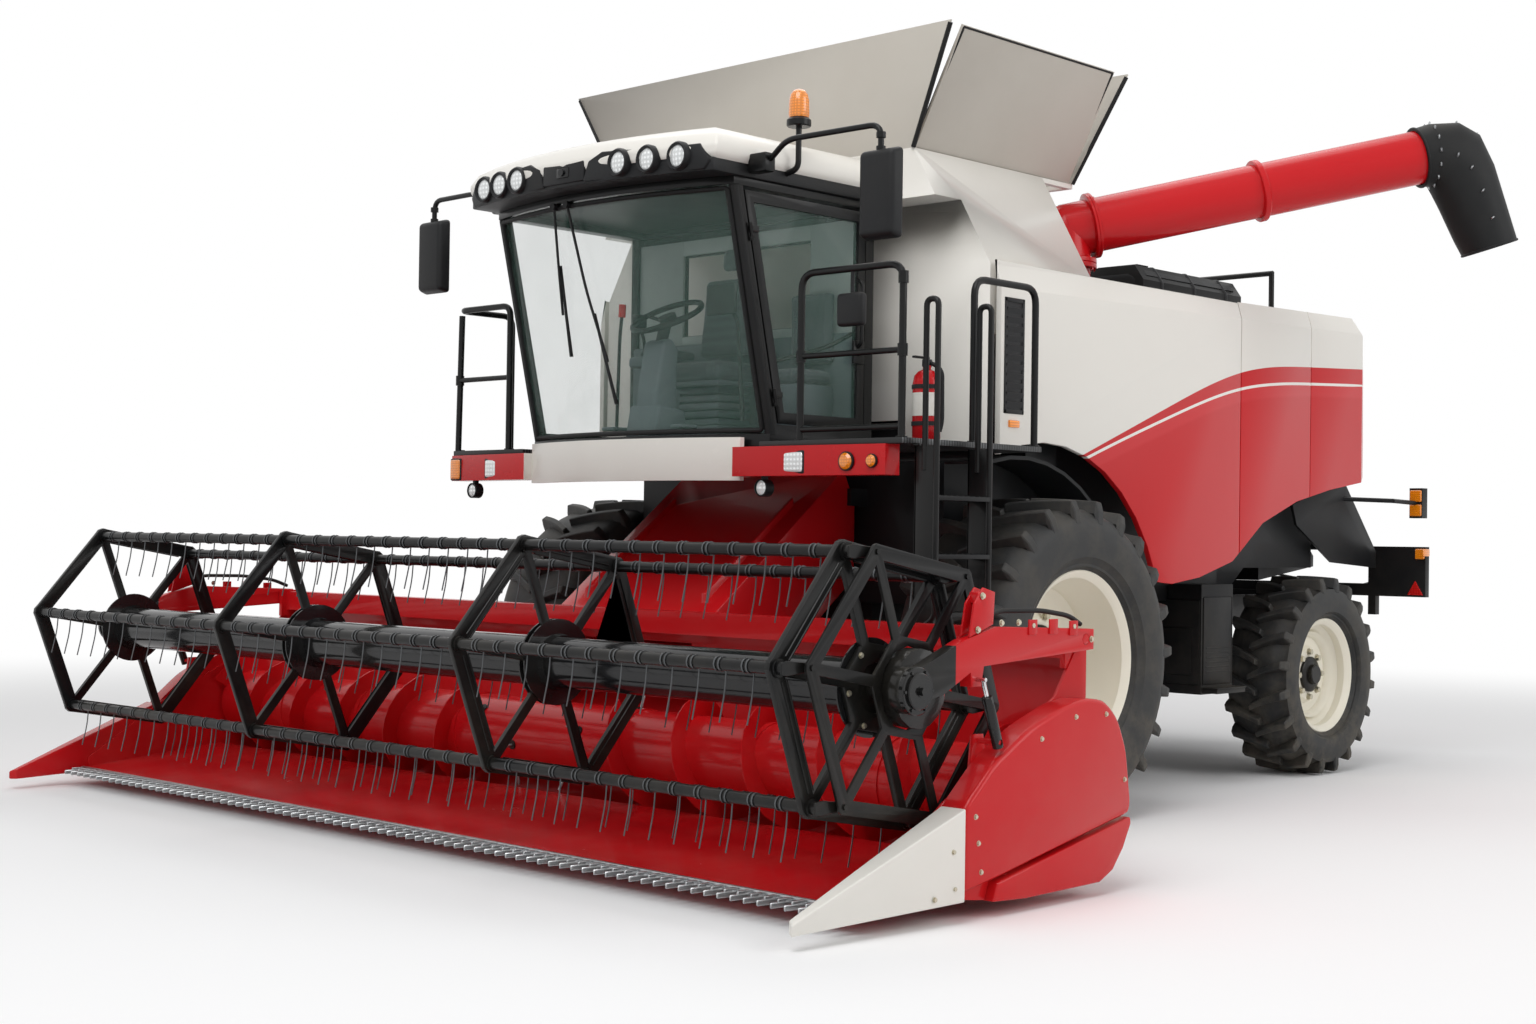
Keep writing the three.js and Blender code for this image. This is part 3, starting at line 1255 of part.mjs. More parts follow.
// Reel arm: pivots on the header's back corner and carries the reel shaft at its front end.
function reelArm(withDisc) {
  const beam = prism('x', [
    [reelPivotY + 60, reelPivotZ - 45], [reelPivotY + 60, reelPivotZ + 45], [-2350, 1200], [-2560, 1150],
    [reelY - 40, reelZ + 60], [reelY - 40, reelZ - 60], [-2700, 930], [-2480, 1035],
  ], armInnerX, armOuterX);
  const hub = rod([armInnerX, reelY, reelZ], [armOuterX, reelY, reelZ], 95, 20);
  const hole = (fromX, y, z, pinRadius, sides) => rod(
    [fromX, y, z], [armOuterX + 1, y, z], eyeRadius(pinRadius, sides), sides);
  const shaftHole = hole(armInnerX - 80, reelY, reelZ, reelShaftRadius, 12);
  const pivotHole = hole(armInnerX - 1, reelPivotY, reelPivotZ, reelPivotPin, 8);
  const discRadius = eccentricHole * Math.cos(Math.PI / 12) - 2;
  const discY = reelY + eccentricOffset;
  const disc = rod([eccentricDiscX, discY, reelZ], [armInnerX + 1, discY, reelZ], discRadius, 16);
  const lug = prism('x', [
    [reelEye[0] - 50, 1100], [reelEye[0] - 34, reelEye[1] - 30], [reelEye[0] + 30, reelEye[1] - 30],
    [reelEye[0] + 60, 1100],
  ], armInnerX, armOuterX);
  const pieces = withDisc ? [beam, hub, lug, disc] : [beam, hub, lug];
  return cut(join(...pieces), shaftHole, pivotHole);
}

for (const side of [1, -1]) {
  place(`reel_arm_${sideName(side)}`, onSide(side, reelArm(side > 0)), paint.red);
}

// ---------------------------------------------------------------- reel lift cylinders

const reelLiftLength = Math.hypot(reelEye[0] - reelFoot[0], reelEye[1] - reelFoot[1]);

for (const side of [1, -1]) {
  const group = cylinderGroup(side * reelLiftX, reelFoot, reelEye);
  const barrel = cut(
    rod([0, -24, 0], [0, 205, 0], 24, 12),
    rod([0, 24, 0], [0, 206, 0], 14, 8),
    rod([-30, 0, 0], [30, 0, 0], eyeRadius(12, 8), 8));
  place(`reel_cylinder_${sideName(side)}`, barrel, paint.black, group);
  const eyePin = rod(
    [side * (armOuterX + seat - reelLiftX), reelLiftLength, 0], [side * 16, reelLiftLength, 0], 9, 8);
  const piston = join(rod([0, 40, 0], [0, reelLiftLength, 0], 11, 8), eyePin);
  place(`reel_rod_${sideName(side)}`, piston, paint.chrome, group);
}

// ---------------------------------------------------------------- origin

machine.position.y = -(dividerTipY + tailY) / 2;

export default machine;
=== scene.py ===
from math import ceil, cos, pi, radians, sin

import bmesh
import bpy
from mathutils import Matrix, Vector


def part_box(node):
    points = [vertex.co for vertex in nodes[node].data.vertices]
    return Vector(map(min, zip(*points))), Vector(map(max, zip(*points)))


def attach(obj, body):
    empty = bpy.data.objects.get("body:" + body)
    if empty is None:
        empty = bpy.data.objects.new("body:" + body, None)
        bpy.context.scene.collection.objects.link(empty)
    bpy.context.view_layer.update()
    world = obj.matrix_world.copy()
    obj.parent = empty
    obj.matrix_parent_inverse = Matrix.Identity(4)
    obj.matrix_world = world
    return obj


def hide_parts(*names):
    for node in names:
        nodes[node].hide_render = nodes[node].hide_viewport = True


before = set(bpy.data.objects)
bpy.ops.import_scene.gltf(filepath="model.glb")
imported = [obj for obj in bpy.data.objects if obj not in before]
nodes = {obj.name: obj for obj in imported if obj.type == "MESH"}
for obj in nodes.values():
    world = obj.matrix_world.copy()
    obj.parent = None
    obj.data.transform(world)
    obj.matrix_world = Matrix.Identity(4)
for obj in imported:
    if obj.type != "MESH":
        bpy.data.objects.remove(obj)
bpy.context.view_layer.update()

scene = bpy.context.scene


# ---------------------------------------------------------------- studio
# A pale floor that runs out into a white room, one broad soft lamp high in front and a weaker one
# beside it, and the camera low in front of the machine's left corner.

class Value:
    """A number that varies over a surface. Arithmetic on it adds Math nodes."""

    def __init__(self, finish, socket):
        self.finish = finish
        self.socket = socket

    def maths(self, operation, *terms):
        return self.finish.node("ShaderNodeMath", {"operation": operation}, dict(enumerate(terms)))[0]

    def __add__(self, other):
        return self.maths("ADD", self, other)

    def __sub__(self, other):
        return self.maths("SUBTRACT", self, other)

    def __rsub__(self, other):
        return self.maths("SUBTRACT", other, self)

    def __mul__(self, other):
        return self.maths("MULTIPLY", self, other)

    def __truediv__(self, other):
        return self.maths("DIVIDE", self, other)

    def __abs__(self):
        return self.made("ABSOLUTE")

    __radd__ = __add__
    __rmul__ = __mul__

    def over(self, edge, soft):
        """0 below the edge and 1 above it, changing over a width of soft."""
        return self.finish.node(
            "ShaderNodeMapRange", {"interpolation_type": "SMOOTHSTEP"},
            {0: self, 1: edge - soft / 2, 2: edge + soft / 2})[0]

    def most(self, other):
        return self.maths("MAXIMUM", self, other)

    def made(self, operation):
        """This number after a Math operation that takes no other."""
        return self.maths(operation, self)


class Outputs:
    """The outputs of one node, by name or number."""

    def __init__(self, finish, node):
        self.finish = finish
        self.node = node

    def __getitem__(self, key):
        return Value(self.finish, self.node.outputs[key])


class Finish:
    """One procedural material or world, built from nodes."""

    def __init__(self, name, owner=None):
        self.owner = owner or bpy.data.materials.new(name)
        self.owner.use_nodes = True
        self.tree = self.owner.node_tree
        self.tree.nodes.clear()

    def node(self, kind, settings=None, values=None):
        node = self.tree.nodes.new(kind)
        for key, setting in (settings or {}).items():
            setattr(node, key, setting)
        for key, value in (values or {}).items():
            if isinstance(value, Value):
                self.tree.links.new(value.socket, node.inputs[key])
            else:
                node.inputs[key].default_value = value
        return Outputs(self, node)

    def place(self):
        """The point on the machine, in metres."""
        return self.node("ShaderNodeTexCoord")["Object"]

    def axes(self, vector=None):
        return self.node("ShaderNodeSeparateXYZ", None, {0: vector or self.place()})

    def noise(self, scale, detail=2.0, rough=0.5, vector=None):
        values = {"Vector": vector or self.place(), "Scale": scale, "Detail": detail, "Roughness": rough}
        return self.node("ShaderNodeTexNoise", None, values)["Fac"]

    def blend(self, mask, first, second):
        """The first colour where the mask is 0 and the second where it is 1."""
        values = {0: mask, 6: first, 7: second}
        return self.node("ShaderNodeMix", {"data_type": "RGBA"}, values)[2]

    def bump(self, height, distance, strength=1.0, under=None):
        values = {"Height": height, "Distance": distance, "Strength": strength}
        if under:
            values["Normal"] = under
        return self.node("ShaderNodeBump", None, values)["Normal"]

    def surface(self, values):
        shader = self.node("ShaderNodeBsdfPrincipled", None, values)[0]
        self.node("ShaderNodeOutputMaterial", None, {0: shader})
        return self.owner


def tone(code):
    """A colour from its six hex digits, as the screen shows it."""
    parts = [int(code[i:i + 2], 16) / 255 for i in (0, 2, 4)]
    return (*[p / 12.92 if p <= 0.04045 else ((p + 0.055) / 1.055) ** 2.4 for p in parts], 1)


def add_object(name, mesh):
    thing = bpy.data.objects.new(name, mesh)
    scene.collection.objects.link(thing)
    return thing


def to_mesh(name, bm):
    """A mesh from a bmesh, which is then gone."""
    mesh = bpy.data.meshes.new(name)
    bm.to_mesh(mesh)
    bm.free()
    return mesh


def mesh_object(name, bm, material):
    """Closes a bmesh into an object at the origin."""
    mesh = to_mesh(name, bm)
    mesh.materials.append(material)
    return add_object(name, mesh)


def show_white(finish):
    """1 where a ray sees the room directly, in a mirror or through glass."""
    path = finish.node("ShaderNodeLightPath")
    return path["Is Camera Ray"].most(path["Is Glossy Ray"]).most(path["Is Transmission Ray"])


scene.view_settings.view_transform = "Standard"
scene.world = scene.world or bpy.data.worlds.new("room")
room = Finish("room", scene.world)
room_strength = show_white(room) * 0.56 + 0.44
room.node("ShaderNodeOutputWorld", None, {0: room.node(
    "ShaderNodeBackground", None, {"Color": (1, 1, 1, 1), "Strength": room_strength})[0]})

floor_half = 60
floor_mesh = bmesh.new()
bmesh.ops.create_grid(floor_mesh, x_segments=1, y_segments=1, size=floor_half)
pale = Finish("studio_floor")
ground = pale.axes()
away = (ground["X"] * ground["X"] + ground["Y"] * ground["Y"]).made("SQRT")
lit = pale.node("ShaderNodeBsdfDiffuse", None, {"Color": (0.94, 0.94, 0.945, 1)})[0]
white = pale.node("ShaderNodeEmission", None, {"Color": (1, 1, 1, 1), "Strength": 1})[0]
runs_out = away.over(11, 9) * show_white(pale)
pale.node("ShaderNodeOutputMaterial", None, {0: pale.node(
    "ShaderNodeMixShader", None, {0: runs_out, 1: lit, 2: white})[0]})
floor = mesh_object("studio_floor", floor_mesh, pale.owner)


shift = Matrix.Translation


def soft_lamp(name, place, target, size, watts):
    lamp = bpy.data.lights.new(name, "AREA")
    lamp.size = size
    lamp.energy = watts
    thing = add_object(name, lamp)
    way = Vector(target) - Vector(place)
    thing.matrix_world = shift(place) @ way.to_track_quat("-Z", "Y").to_matrix().to_4x4()


soft_lamp("key_lamp", (4, -9, 13), (0, -1, 1), 9, 950)
soft_lamp("side_lamp", (14, 3, 8), (0, 0, 1.5), 8, 500)
soft_lamp("top_lamp", (-3, 3, 14), (0, 0, 1), 10, 450)

# The camera stands off the machine's left front corner and looks level at it, turned by these angles.
turn, pitch, roll = radians(43.701), radians(0.733), radians(0.827)
ahead = Vector((-sin(turn) * cos(pitch), cos(turn) * cos(pitch), sin(pitch)))
level = Vector((cos(turn), sin(turn), 0))
upward = level.cross(ahead)
right = level * cos(roll) + upward * sin(roll)
upward = upward * cos(roll) - level * sin(roll)
lens = bpy.data.cameras.new("camera")
lens.lens = 46.96
lens.sensor_width = 36
lens.clip_end = 200
camera = add_object("camera", lens)
axes = Matrix((right, upward, -ahead)).transposed().to_4x4()
camera.matrix_world = shift((8.305, -9.795, 1.559)) @ axes
scene.camera = camera


# ---------------------------------------------------------------- sprayed and bare finishes
# The machine's steel is sprayed in gloss red, off-white and black over pressed and folded sheet.
# Sprayed coats keep a faint orange peel, and dust settles lower down and on faces that look up.

RED, WHITE, CREAM, BLACK = tone("c8141b"), tone("ebe8e1"), tone("f1ecdc"), tone("101112")
DUST = tone("a89c88")


def dusty(finish, amount):
    """Dust in faint drifts, thicker near the ground and on faces that look up."""
    height = finish.axes()["Z"]
    facing = finish.axes(finish.node("ShaderNodeNewGeometry")["Normal"])["Z"]
    drift = finish.noise(2.3, 6, 0.65).over(0.55, 0.4)
    low = 1 - height.over(0.9, 1.8)
    return (low * 0.6 + facing.over(0.75, 0.5) * 0.4 + 0.08) * drift * amount


def sprayed(name, shade, rough=0.3, coat=0.5, dust=0.1, peel=0.0003, shade_at=None):
    """Sprayed paint. shade_at gives its colour from place to place, where it has more than one."""
    finish = Finish(name)
    base = shade_at(finish) if shade_at else shade
    faded = finish.noise(0.9, 4, 0.6)
    duller = finish.node("ShaderNodeMix", {"data_type": "RGBA", "blend_type": "MULTIPLY"}, {
        0: faded * 0.16, 6: base, 7: (0.72, 0.72, 0.72, 1)})[2]
    grime = dusty(finish, dust)
    scuffs = finish.noise(9, 5, 0.6).over(0.6, 0.4)
    wavy = finish.noise(1.3, 1)
    ripple = finish.bump(wavy, 0.012, 0.25)
    return finish.surface({
        "Base Color": finish.blend(grime, duller, DUST),
        "Roughness": scuffs * 0.02 + grime * 0.4 + rough,
        "Specular IOR Level": 0.18,
        "Coat Weight": coat * 0.4 * (1 - grime),
        "Coat Roughness": 0.06,
        "Normal": finish.bump(finish.noise(420, 2), peel, 0.35, ripple)})


def metal(name, shade, rough, grain=(60, 60, 900), dust=0.15):
    """Bare or plated metal, drawn or rolled along one way."""
    finish = Finish(name)
    stretched = finish.node("ShaderNodeMapping", None, {0: finish.place(), 3: grain})[0]
    lines = finish.noise(1, 4, 0.6, stretched)
    grime = dusty(finish, dust)
    stain = finish.noise(14, 4, 0.6).over(0.6, 0.3)
    darker = tuple(c * 0.55 for c in shade[:3]) + (1,)
    return finish.surface({
        "Base Color": finish.blend(grime, finish.blend(stain * 0.5, shade, darker), DUST),
        "Metallic": 1 - grime,
        "Roughness": lines * 0.14 + stain * 0.12 + grime * 0.4 + rough,
        "Normal": finish.bump(lines, 0.0002, 0.4)})


def moulded(name, shade, rough=0.5, pimples=900, dust=0.3, depth=0.0003):
    """Moulded plastic or rubber with a fine pebbled skin."""
    finish = Finish(name)
    skin = finish.node("ShaderNodeTexVoronoi", None, {"Vector": finish.place(), "Scale": pimples})[0]
    grime = dusty(finish, dust)
    worn = finish.noise(7, 5, 0.6)
    paler = tuple(min(1, c * 1.7 + 0.01) for c in shade[:3]) + (1,)
    return finish.surface({
        "Base Color": finish.blend(grime, finish.blend(worn * 0.5, shade, paler), DUST),
        "Roughness": worn * 0.16 + grime * 0.3 + rough - 0.08,
        "Specular IOR Level": 0.22,
        "Normal": finish.bump(skin, depth, 0.5)})


def shade_smooth(thing):
    for polygon in thing.data.polygons:
        polygon.use_smooth = True


def round_folds(thing, width, segments, angle):
    """Rounds a piece's edges that fold by more than an angle in degrees."""
    fold = thing.modifiers.new("fold", "BEVEL")
    fold.width = width
    fold.segments = segments
    fold.limit_method = "ANGLE"
    fold.angle_limit = radians(angle)
    return fold


def finish_node(name, material, radius=0.003, angle=32, segments=2):
    """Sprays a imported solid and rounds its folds, without touching the solid itself."""
    thing = nodes[name]
    shade_smooth(thing)
    weld = thing.modifiers.new("weld", "WELD")
    weld.merge_threshold = 0.00002
    flat = thing.modifiers.new("flat", "DECIMATE")
    flat.decimate_type = "DISSOLVE"
    flat.angle_limit = radians(0.4)
    round_folds(thing, radius, segments, angle).harden_normals = True
    thing.data.materials.clear()
    thing.data.materials.append(material)


red_paint = sprayed("red_paint", RED, 0.24, 0.5, 0.06)
white_paint = sprayed("white_paint", WHITE, 0.3, 0.4, 0.06)
cream_paint = sprayed("cream_paint", CREAM, 0.34, 0.3, 0.1)
black_paint = sprayed("black_paint", BLACK, 0.32, 0.3, 0.1)
dark_steel = sprayed("dark_steel", tone("17181a"), 0.45, 0.05, 0.14)
bright_steel = metal("bright_steel", tone("b9bbbd"), 0.26)
zinc = metal("zinc_plate", tone("c9c3b0"), 0.3)
chromed = metal("chromed", tone("dfe1e3"), 0.08, (40, 900, 40), 0.03)
rubber = moulded("moulded_rubber", tone("121314"), 0.55, dust=0.12)
plastic = moulded("moulded_plastic", tone("141517"), 0.45, 1400, 0.12)


# ---------------------------------------------------------------- tyres
# Bias-ply traction tyres, black rubber cured in a mould. Curved lugs run from the middle of the
# tread to the shoulder, left and right in turn, and each bead grips its rim.

def add(bm, part, place=None):
    """Moves a part's geometry into a bmesh."""
    if place:
        part.transform(place)
    scrap = to_mesh("scrap", part)
    bm.from_mesh(scrap)
    bpy.data.meshes.remove(scrap)


def stamp(bm, shape, place):
    """Adds a copy of a mesh to a bmesh, at a place."""
    shape.transform(place)
    bm.from_mesh(shape)
    shape.transform(place.inverted())


def outward(bm):
    """Turns the faces of a closed form outward."""
    bmesh.ops.recalc_face_normals(bm, faces=bm.faces)
    return bm


def round_edges(bm, edges, width, segments):
    bmesh.ops.bevel(bm, geom=edges, offset=width, affect="EDGES", segments=segments,
                    profile=0.5, material=-1)


def folds_over(bm, angle):
    """The edges that fold by more than an angle in degrees."""
    return [e for e in bm.edges if e.calc_face_angle(0) > radians(angle)]


def about(axis, angle):
    return Matrix.Rotation(angle, 4, axis)


def turned(profile, steps=64):
    """Turns a line of (radius, x) points round the X axis."""
    bm = bmesh.new()
    verts = [bm.verts.new((x, 0, r)) for r, x in profile]
    edges = [bm.edges.new(pair) for pair in zip(verts, verts[1:])]
    bmesh.ops.spin(bm, geom=verts + edges, cent=(0, 0, 0), axis=(1, 0, 0), dvec=(0, 0, 0),
                   angle=2 * pi, steps=steps, use_merge=True)
    bmesh.ops.remove_doubles(bm, verts=bm.verts, dist=0.00001)
    bmesh.ops.dissolve_degenerate(bm, edges=bm.edges, dist=0.00001)
    return outward(bm)


def smooth(bm, angle=34):
    """Shades a bmesh smooth, with its sharper folds kept crisp."""
    for face in bm.faces:
        face.smooth = True
    for edge in bm.edges:
        if edge.is_manifold:
            edge.smooth = edge.calc_face_angle(0) < radians(angle)
    return bm


def middle(name):
    low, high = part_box(name)
    return (low + high) / 2


def fit(name, bm, material, body, slot, *replaced):
    """Makes a bmesh a piece that rides on a body."""
    piece = mesh_object(name, bm, material)
    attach(piece, body)
    if replaced:
        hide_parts(*replaced)
    return piece


tyre_rubber = Finish("tyre_rubber")
across = tyre_rubber.axes()
tread_mud = tyre_rubber.noise(5, 6, 0.65).over(0.52, 0.3)
near_ground = 1 - across["Z"].over(0.5, 1.2)
tread_dust = tread_mud * (near_ground * 0.35 + 0.18)
pebbles = tyre_rubber.noise(160, 3, 0.6)
streaks = tyre_rubber.noise(18, 5, 0.7)
tyre_colour = tyre_rubber.blend(streaks, tone("131415"), tone("242525"))
tyre_material = tyre_rubber.surface({
    "Base Color": tyre_rubber.blend(tread_dust, tyre_colour, tone("6e675b")),
    "Roughness": streaks * 0.2 + tread_dust * 0.3 + 0.5,
    "Normal": tyre_rubber.bump(pebbles, 0.0006, 0.5)})


def lug(radius, half, hand):
    """One tread lug: a bar bent from the middle of the tread to the shoulder and down the side."""
    bm = bmesh.new()
    bmesh.ops.create_cube(bm, size=1)
    long_way = [e for e in bm.edges if abs(e.verts[0].co.x - e.verts[1].co.x) > 0.5]
    bmesh.ops.subdivide_edges(bm, edges=long_way, cuts=7, use_grid_fill=True)
    for vert in bm.verts:
        u = vert.co.x + 0.5
        top = vert.co.z > 0
        out = min(u / 0.78, 1)
        x = -0.03 + (half * 0.93 + 0.03) * out + max(u - 0.78, 0) * half * 0.14
        height = radius - 0.008 * out * out - max(u - 0.78, 0) * radius * 0.62
        deep = 0.075 if u < 0.78 else 0.05
        reach = height if top else height - deep
        x = x if top else x - max(u - 0.7, 0) * half * 0.22
        wide = (0.019 + 0.008 * u) if top else (0.032 + 0.012 * u)
        angle = (0.30 * half / radius) * (1.9 * out - 0.55 * out * out) + vert.co.y * 2 * wide / radius
        vert.co = Vector((hand * x, reach * sin(angle), reach * cos(angle)))
    outward(bm)
    round_edges(bm, folds_over(bm, 40), 0.005, 1)
    return bm


def tyre(name, lug_count):
    """A tyre and its lugs, with one row of lugs half a pitch behind the other."""
    low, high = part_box(name)
    radius, half = (high.z - low.z) / 2, (high.x - low.x) / 2
    rim_low, rim_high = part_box(name.replace("tyre", "rim"))
    bead = (rim_high.z - rim_low.z) / 2 - 0.022
    tall = radius - bead
    side = [(bead, half - 0.085), (bead + 0.035, half - 0.05), (bead + tall * 0.2, half - 0.02),
            (bead + tall * 0.22, half - 0.012), (bead + tall * 0.42, half - 0.002),
            (bead + tall * 0.6, half - 0.006), (bead + tall * 0.72, half - 0.02),
            (radius - 0.085, half - 0.05), (radius - 0.06, half - 0.1), (radius - 0.048, half * 0.4)]
    ridge = [(bead + 0.035, half - 0.05), (bead + 0.04, half - 0.038), (bead + 0.055, half - 0.038)]
    side = side[:1] + ridge + side[2:]
    profile = [(r, -x) for r, x in side] + [(radius - 0.046, 0)] + [(r, x) for r, x in reversed(side)]
    profile += [(bead - 0.012, half - 0.09), (bead - 0.012, -half + 0.09), profile[0]]
    bm = smooth(turned(profile, 88), 30)
    for hand in (1, -1):
        shape = to_mesh("lug", lug(radius, half, hand))
        start = 0.5 if hand < 0 else 0
        for i in range(lug_count):
            stamp(bm, shape, about("X", 2 * pi * (i + start) / lug_count))
        bpy.data.meshes.remove(shape)
    bm.transform(shift((low + high) / 2))
    wheel = name.replace("tyre", "wheel")
    fit(name.replace("tyre", "tread"), bm, tyre_material, wheel, "tyre_rubber", name)


for end, count in (("front", 23), ("rear", 20)):
    for hand in ("left", "right"):
        tyre(f"{end}_{hand}_tyre", count)


# ---------------------------------------------------------------- rims
# Rolled steel rims with a deep well and a dished centre disc, sprayed cream. The disc is held to
# the hub by a ring of zinc-plated wheel bolts, round a black hub cover.

def handed(side):
    """No change for the left side, 1, and a mirror image for the right side, -1."""
    return Matrix.Scale(side, 4, (1, 0, 0))


def wheel_rim(name, hub_radius, bolt_count, disc):
    """A rim with its disc, hub cover and wheel bolts, all turning with the wheel."""
    low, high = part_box(name)
    centre = (low + high) / 2
    hand = 1 if centre.x > 0 else -1
    flange, half = (high.z - low.z) / 2, (high.x - low.x) / 2
    barrel = flange - 0.03
    lip = [(flange - 0.006, half), (flange, half - 0.006), (flange, half - 0.014),
           (flange - 0.012, half - 0.02), (barrel + 0.004, half - 0.032)]
    outer = [(r, -x) for r, x in lip[1:]] + [(barrel, -half * 0.6), (barrel - 0.05, -half * 0.4),
             (barrel - 0.05, half * 0.2), (barrel, half * 0.5)] + list(reversed(lip))
    wall = 0.016
    inner = [(flange - 0.012, half - 0.002), (barrel - wall, half - 0.036), (barrel - wall, half * 0.52),
             (barrel - 0.05 - wall, half * 0.25), (barrel - 0.05 - wall, disc + 0.05),
             (barrel - 0.08 - wall, disc + 0.02), (barrel * 0.72, disc), (barrel * 0.55, disc),
             (barrel * 0.48, disc + 0.03), (hub_radius * 0.2, disc + 0.03)]
    back = [(hub_radius * 0.2, disc + 0.014), (barrel * 0.47, disc + 0.014), (barrel * 0.54, disc - 0.016),
            (barrel * 0.72, disc - 0.016), (barrel - 0.05 - wall, disc + 0.014),
            (barrel - 0.05 - wall, -half * 0.36), (barrel - wall, -half * 0.58),
            (barrel - wall, -half + 0.036), (flange - 0.012, -half + 0.002), (flange - 0.006, -half)]
    bm = smooth(turned(outer + inner + back + outer[:1], 72), 40)
    face = disc + 0.03
    place = shift(centre) @ handed(hand)
    hub = smooth(turned([(0, face + 0.062), (hub_radius * 0.5, face + 0.062),
                         (hub_radius * 0.56, face + 0.056), (hub_radius * 0.58, face + 0.03),
                         (hub_radius * 0.94, face + 0.024), (hub_radius, face + 0.018),
                         (hub_radius, face - 0.01), (0, face - 0.01)], 40))
    wheel = name.replace("rim", "wheel")
    for part, label, paint, slot, replaced in ((bm, "wheel_disc", cream_paint, "cream_paint", [name]),
                                               (hub, "hub_cover", black_paint, "black_paint", [])):
        part.transform(place)
        if hand < 0:
            bmesh.ops.reverse_faces(part, faces=part.faces)
        fit(name.replace("rim", label), part, paint, wheel, slot, *replaced)
    bolts = bmesh.new()
    ring = hub_radius * 1.28
    for i in range(bolt_count):
        angle = 2 * pi * i / bolt_count
        spot = Vector((face, ring * cos(angle), ring * sin(angle)))
        add(bolts, bolt(0.02, 0.026), place @ shift(spot))
    fit(name.replace("rim", "wheel_bolts"), outward(bolts), zinc, wheel, "galvanised_sheet")


def bolt(radius, height):
    """A hexagon head on its washer, pointing along X."""
    bm = turned([(0, 0), (radius * 1.35, 0), (radius * 1.35, height * 0.18), (radius, height * 0.18)], 12)
    head = bmesh.new()
    bmesh.ops.create_cone(head, cap_ends=True, segments=6, radius1=radius, radius2=radius,
                          depth=height * 0.8)
    head.transform(shift((height * 0.58, 0, 0)) @ about("Y", pi / 2))
    add(bm, head)
    return bm


for hand in ("left", "right"):
    wheel_rim(f"front_{hand}_rim", 0.2, 10, -0.02)
    wheel_rim(f"rear_{hand}_rim", 0.12, 8, 0.03)


# ---------------------------------------------------------------- body panels
# Pressed sheet panels with a fold under their top edge: two hinged at their tops, and the rear
# hood. They are sprayed off-white above and red below a rising line, with a thin white coach line.

axle_y = middle("front_left_rim").y


def yz(x, along, z):
    """A point from its distance behind the front axle."""
    return (x, axle_y + along, z)


def side_view(points):
    """Points of an outline seen from the side, from their distance behind the front axle."""
    return [(axle_y + along, z) for along, z in points]


def belt_height(finish):
    """Height of the colour line above the ground, from place to place along the machine."""
    along = finish.axes()["Y"] - axle_y
    rise, level_rise, blend_over = 0.365, 0.05, 0.28
    rising = (along - 0.47) * rise + 2.05
    level_part = (along - 2.25) * level_rise + 2.71
    return rising.maths("SMOOTH_MIN", rising, level_part, blend_over)


def livery(finish):
    spot = finish.axes()
    along = spot["Y"] - axle_y
    belt = belt_height(finish)
    below = (belt - spot["Z"]).over(0, 0.003)
    apart = along.over(1.5, 2.4) * 0.085 + 0.028
    line = abs(belt - spot["Z"] - apart)
    width = (1 - along.over(3.9, 0.5)) * 0.008 + 0.001
    coach_line = (width - line).over(0, 0.002)
    # A lighter red band just under the coach line is a painted highlight, where the fold in the panel would
    # catch the light.
    glow = (0.05 - abs(belt - spot["Z"] - apart - 0.045)).over(0.01, 0.03) * 0.3
    red = finish.blend(glow, RED, tone("dc3a40"))
    red = finish.blend(coach_line, red, tone("f3efe9"))
    return finish.blend(below, WHITE, red)


livery_paint = sprayed("livery_paint", WHITE, 0.25, 0.3, 0.04, shade_at=livery)


def formed_panel(name):
    """A copy of a panel with its top folded in along a line, and a seam pressed across it."""
    bm = bmesh.new()
    bm.from_mesh(nodes[name].data)
    bmesh.ops.remove_doubles(bm, verts=bm.verts, dist=0.00002)
    bmesh.ops.dissolve_limit(bm, angle_limit=radians(0.5), verts=bm.verts, edges=bm.edges)
    fold_low, fold_rise = 2.955, 0.02
    across = Vector((0, -fold_rise, 1))
    cuts = [((0, axle_y, fold_low), across), ((0, axle_y, fold_low - 0.012), across)]
    seam = axle_y + 3.14
    if name == "rear_hood":
        cuts += [((0, seam - 0.004, 0), (0, 1, 0)), ((0, seam + 0.004, 0), (0, 1, 0))]
    for point, normal in cuts:
        bmesh.ops.bisect_plane(bm, geom=bm.verts[:] + bm.edges[:] + bm.faces[:], plane_co=point,
                               plane_no=normal, dist=0.00001)
    outer_x = 1.63
    for vert in bm.verts:
        above = vert.co.z - fold_low - fold_rise * (vert.co.y - axle_y)
        if above > 0 and abs(vert.co.x) > outer_x:
            vert.co.x -= (1 if vert.co.x > 0 else -1) * above * 0.3
    groove = [f for f in bm.faces if abs(f.calc_center_median().y - seam) < 0.003
              and abs(f.calc_center_median().x) > outer_x - 0.02 and abs(f.normal.x) > 0.7]
    if name == "rear_hood" and groove:
        bmesh.ops.inset_region(bm, faces=groove, thickness=0.0006, depth=-0.012, use_even_offset=False)
    panel = mesh_object(name + "_skin", bm, livery_paint)
    shade_smooth(panel)
    round_folds(panel, 0.006, 3, 12).harden_normals = True
    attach(panel, "chassis" if name == "rear_hood" else name)
    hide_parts(name)


for name in ("side_panel_left", "side_panel_right", "rear_hood"):
    formed_panel(name)


# ---------------------------------------------------------------- grain tank and its extensions
# A folded steel hopper, white outside below its rim. The raised sheets above the rim are plain
# galvanised steel with a rolled edge, and black rubber strips close their corners.

def tank_shade(finish):
    height = finish.axes()["Z"]
    sheet = finish.blend(finish.noise(1.6, 5, 0.6), tone("bdb7ad"), tone("c9c4bb"))
    return finish.blend(height.over(3.738, 0.002), WHITE, sheet)


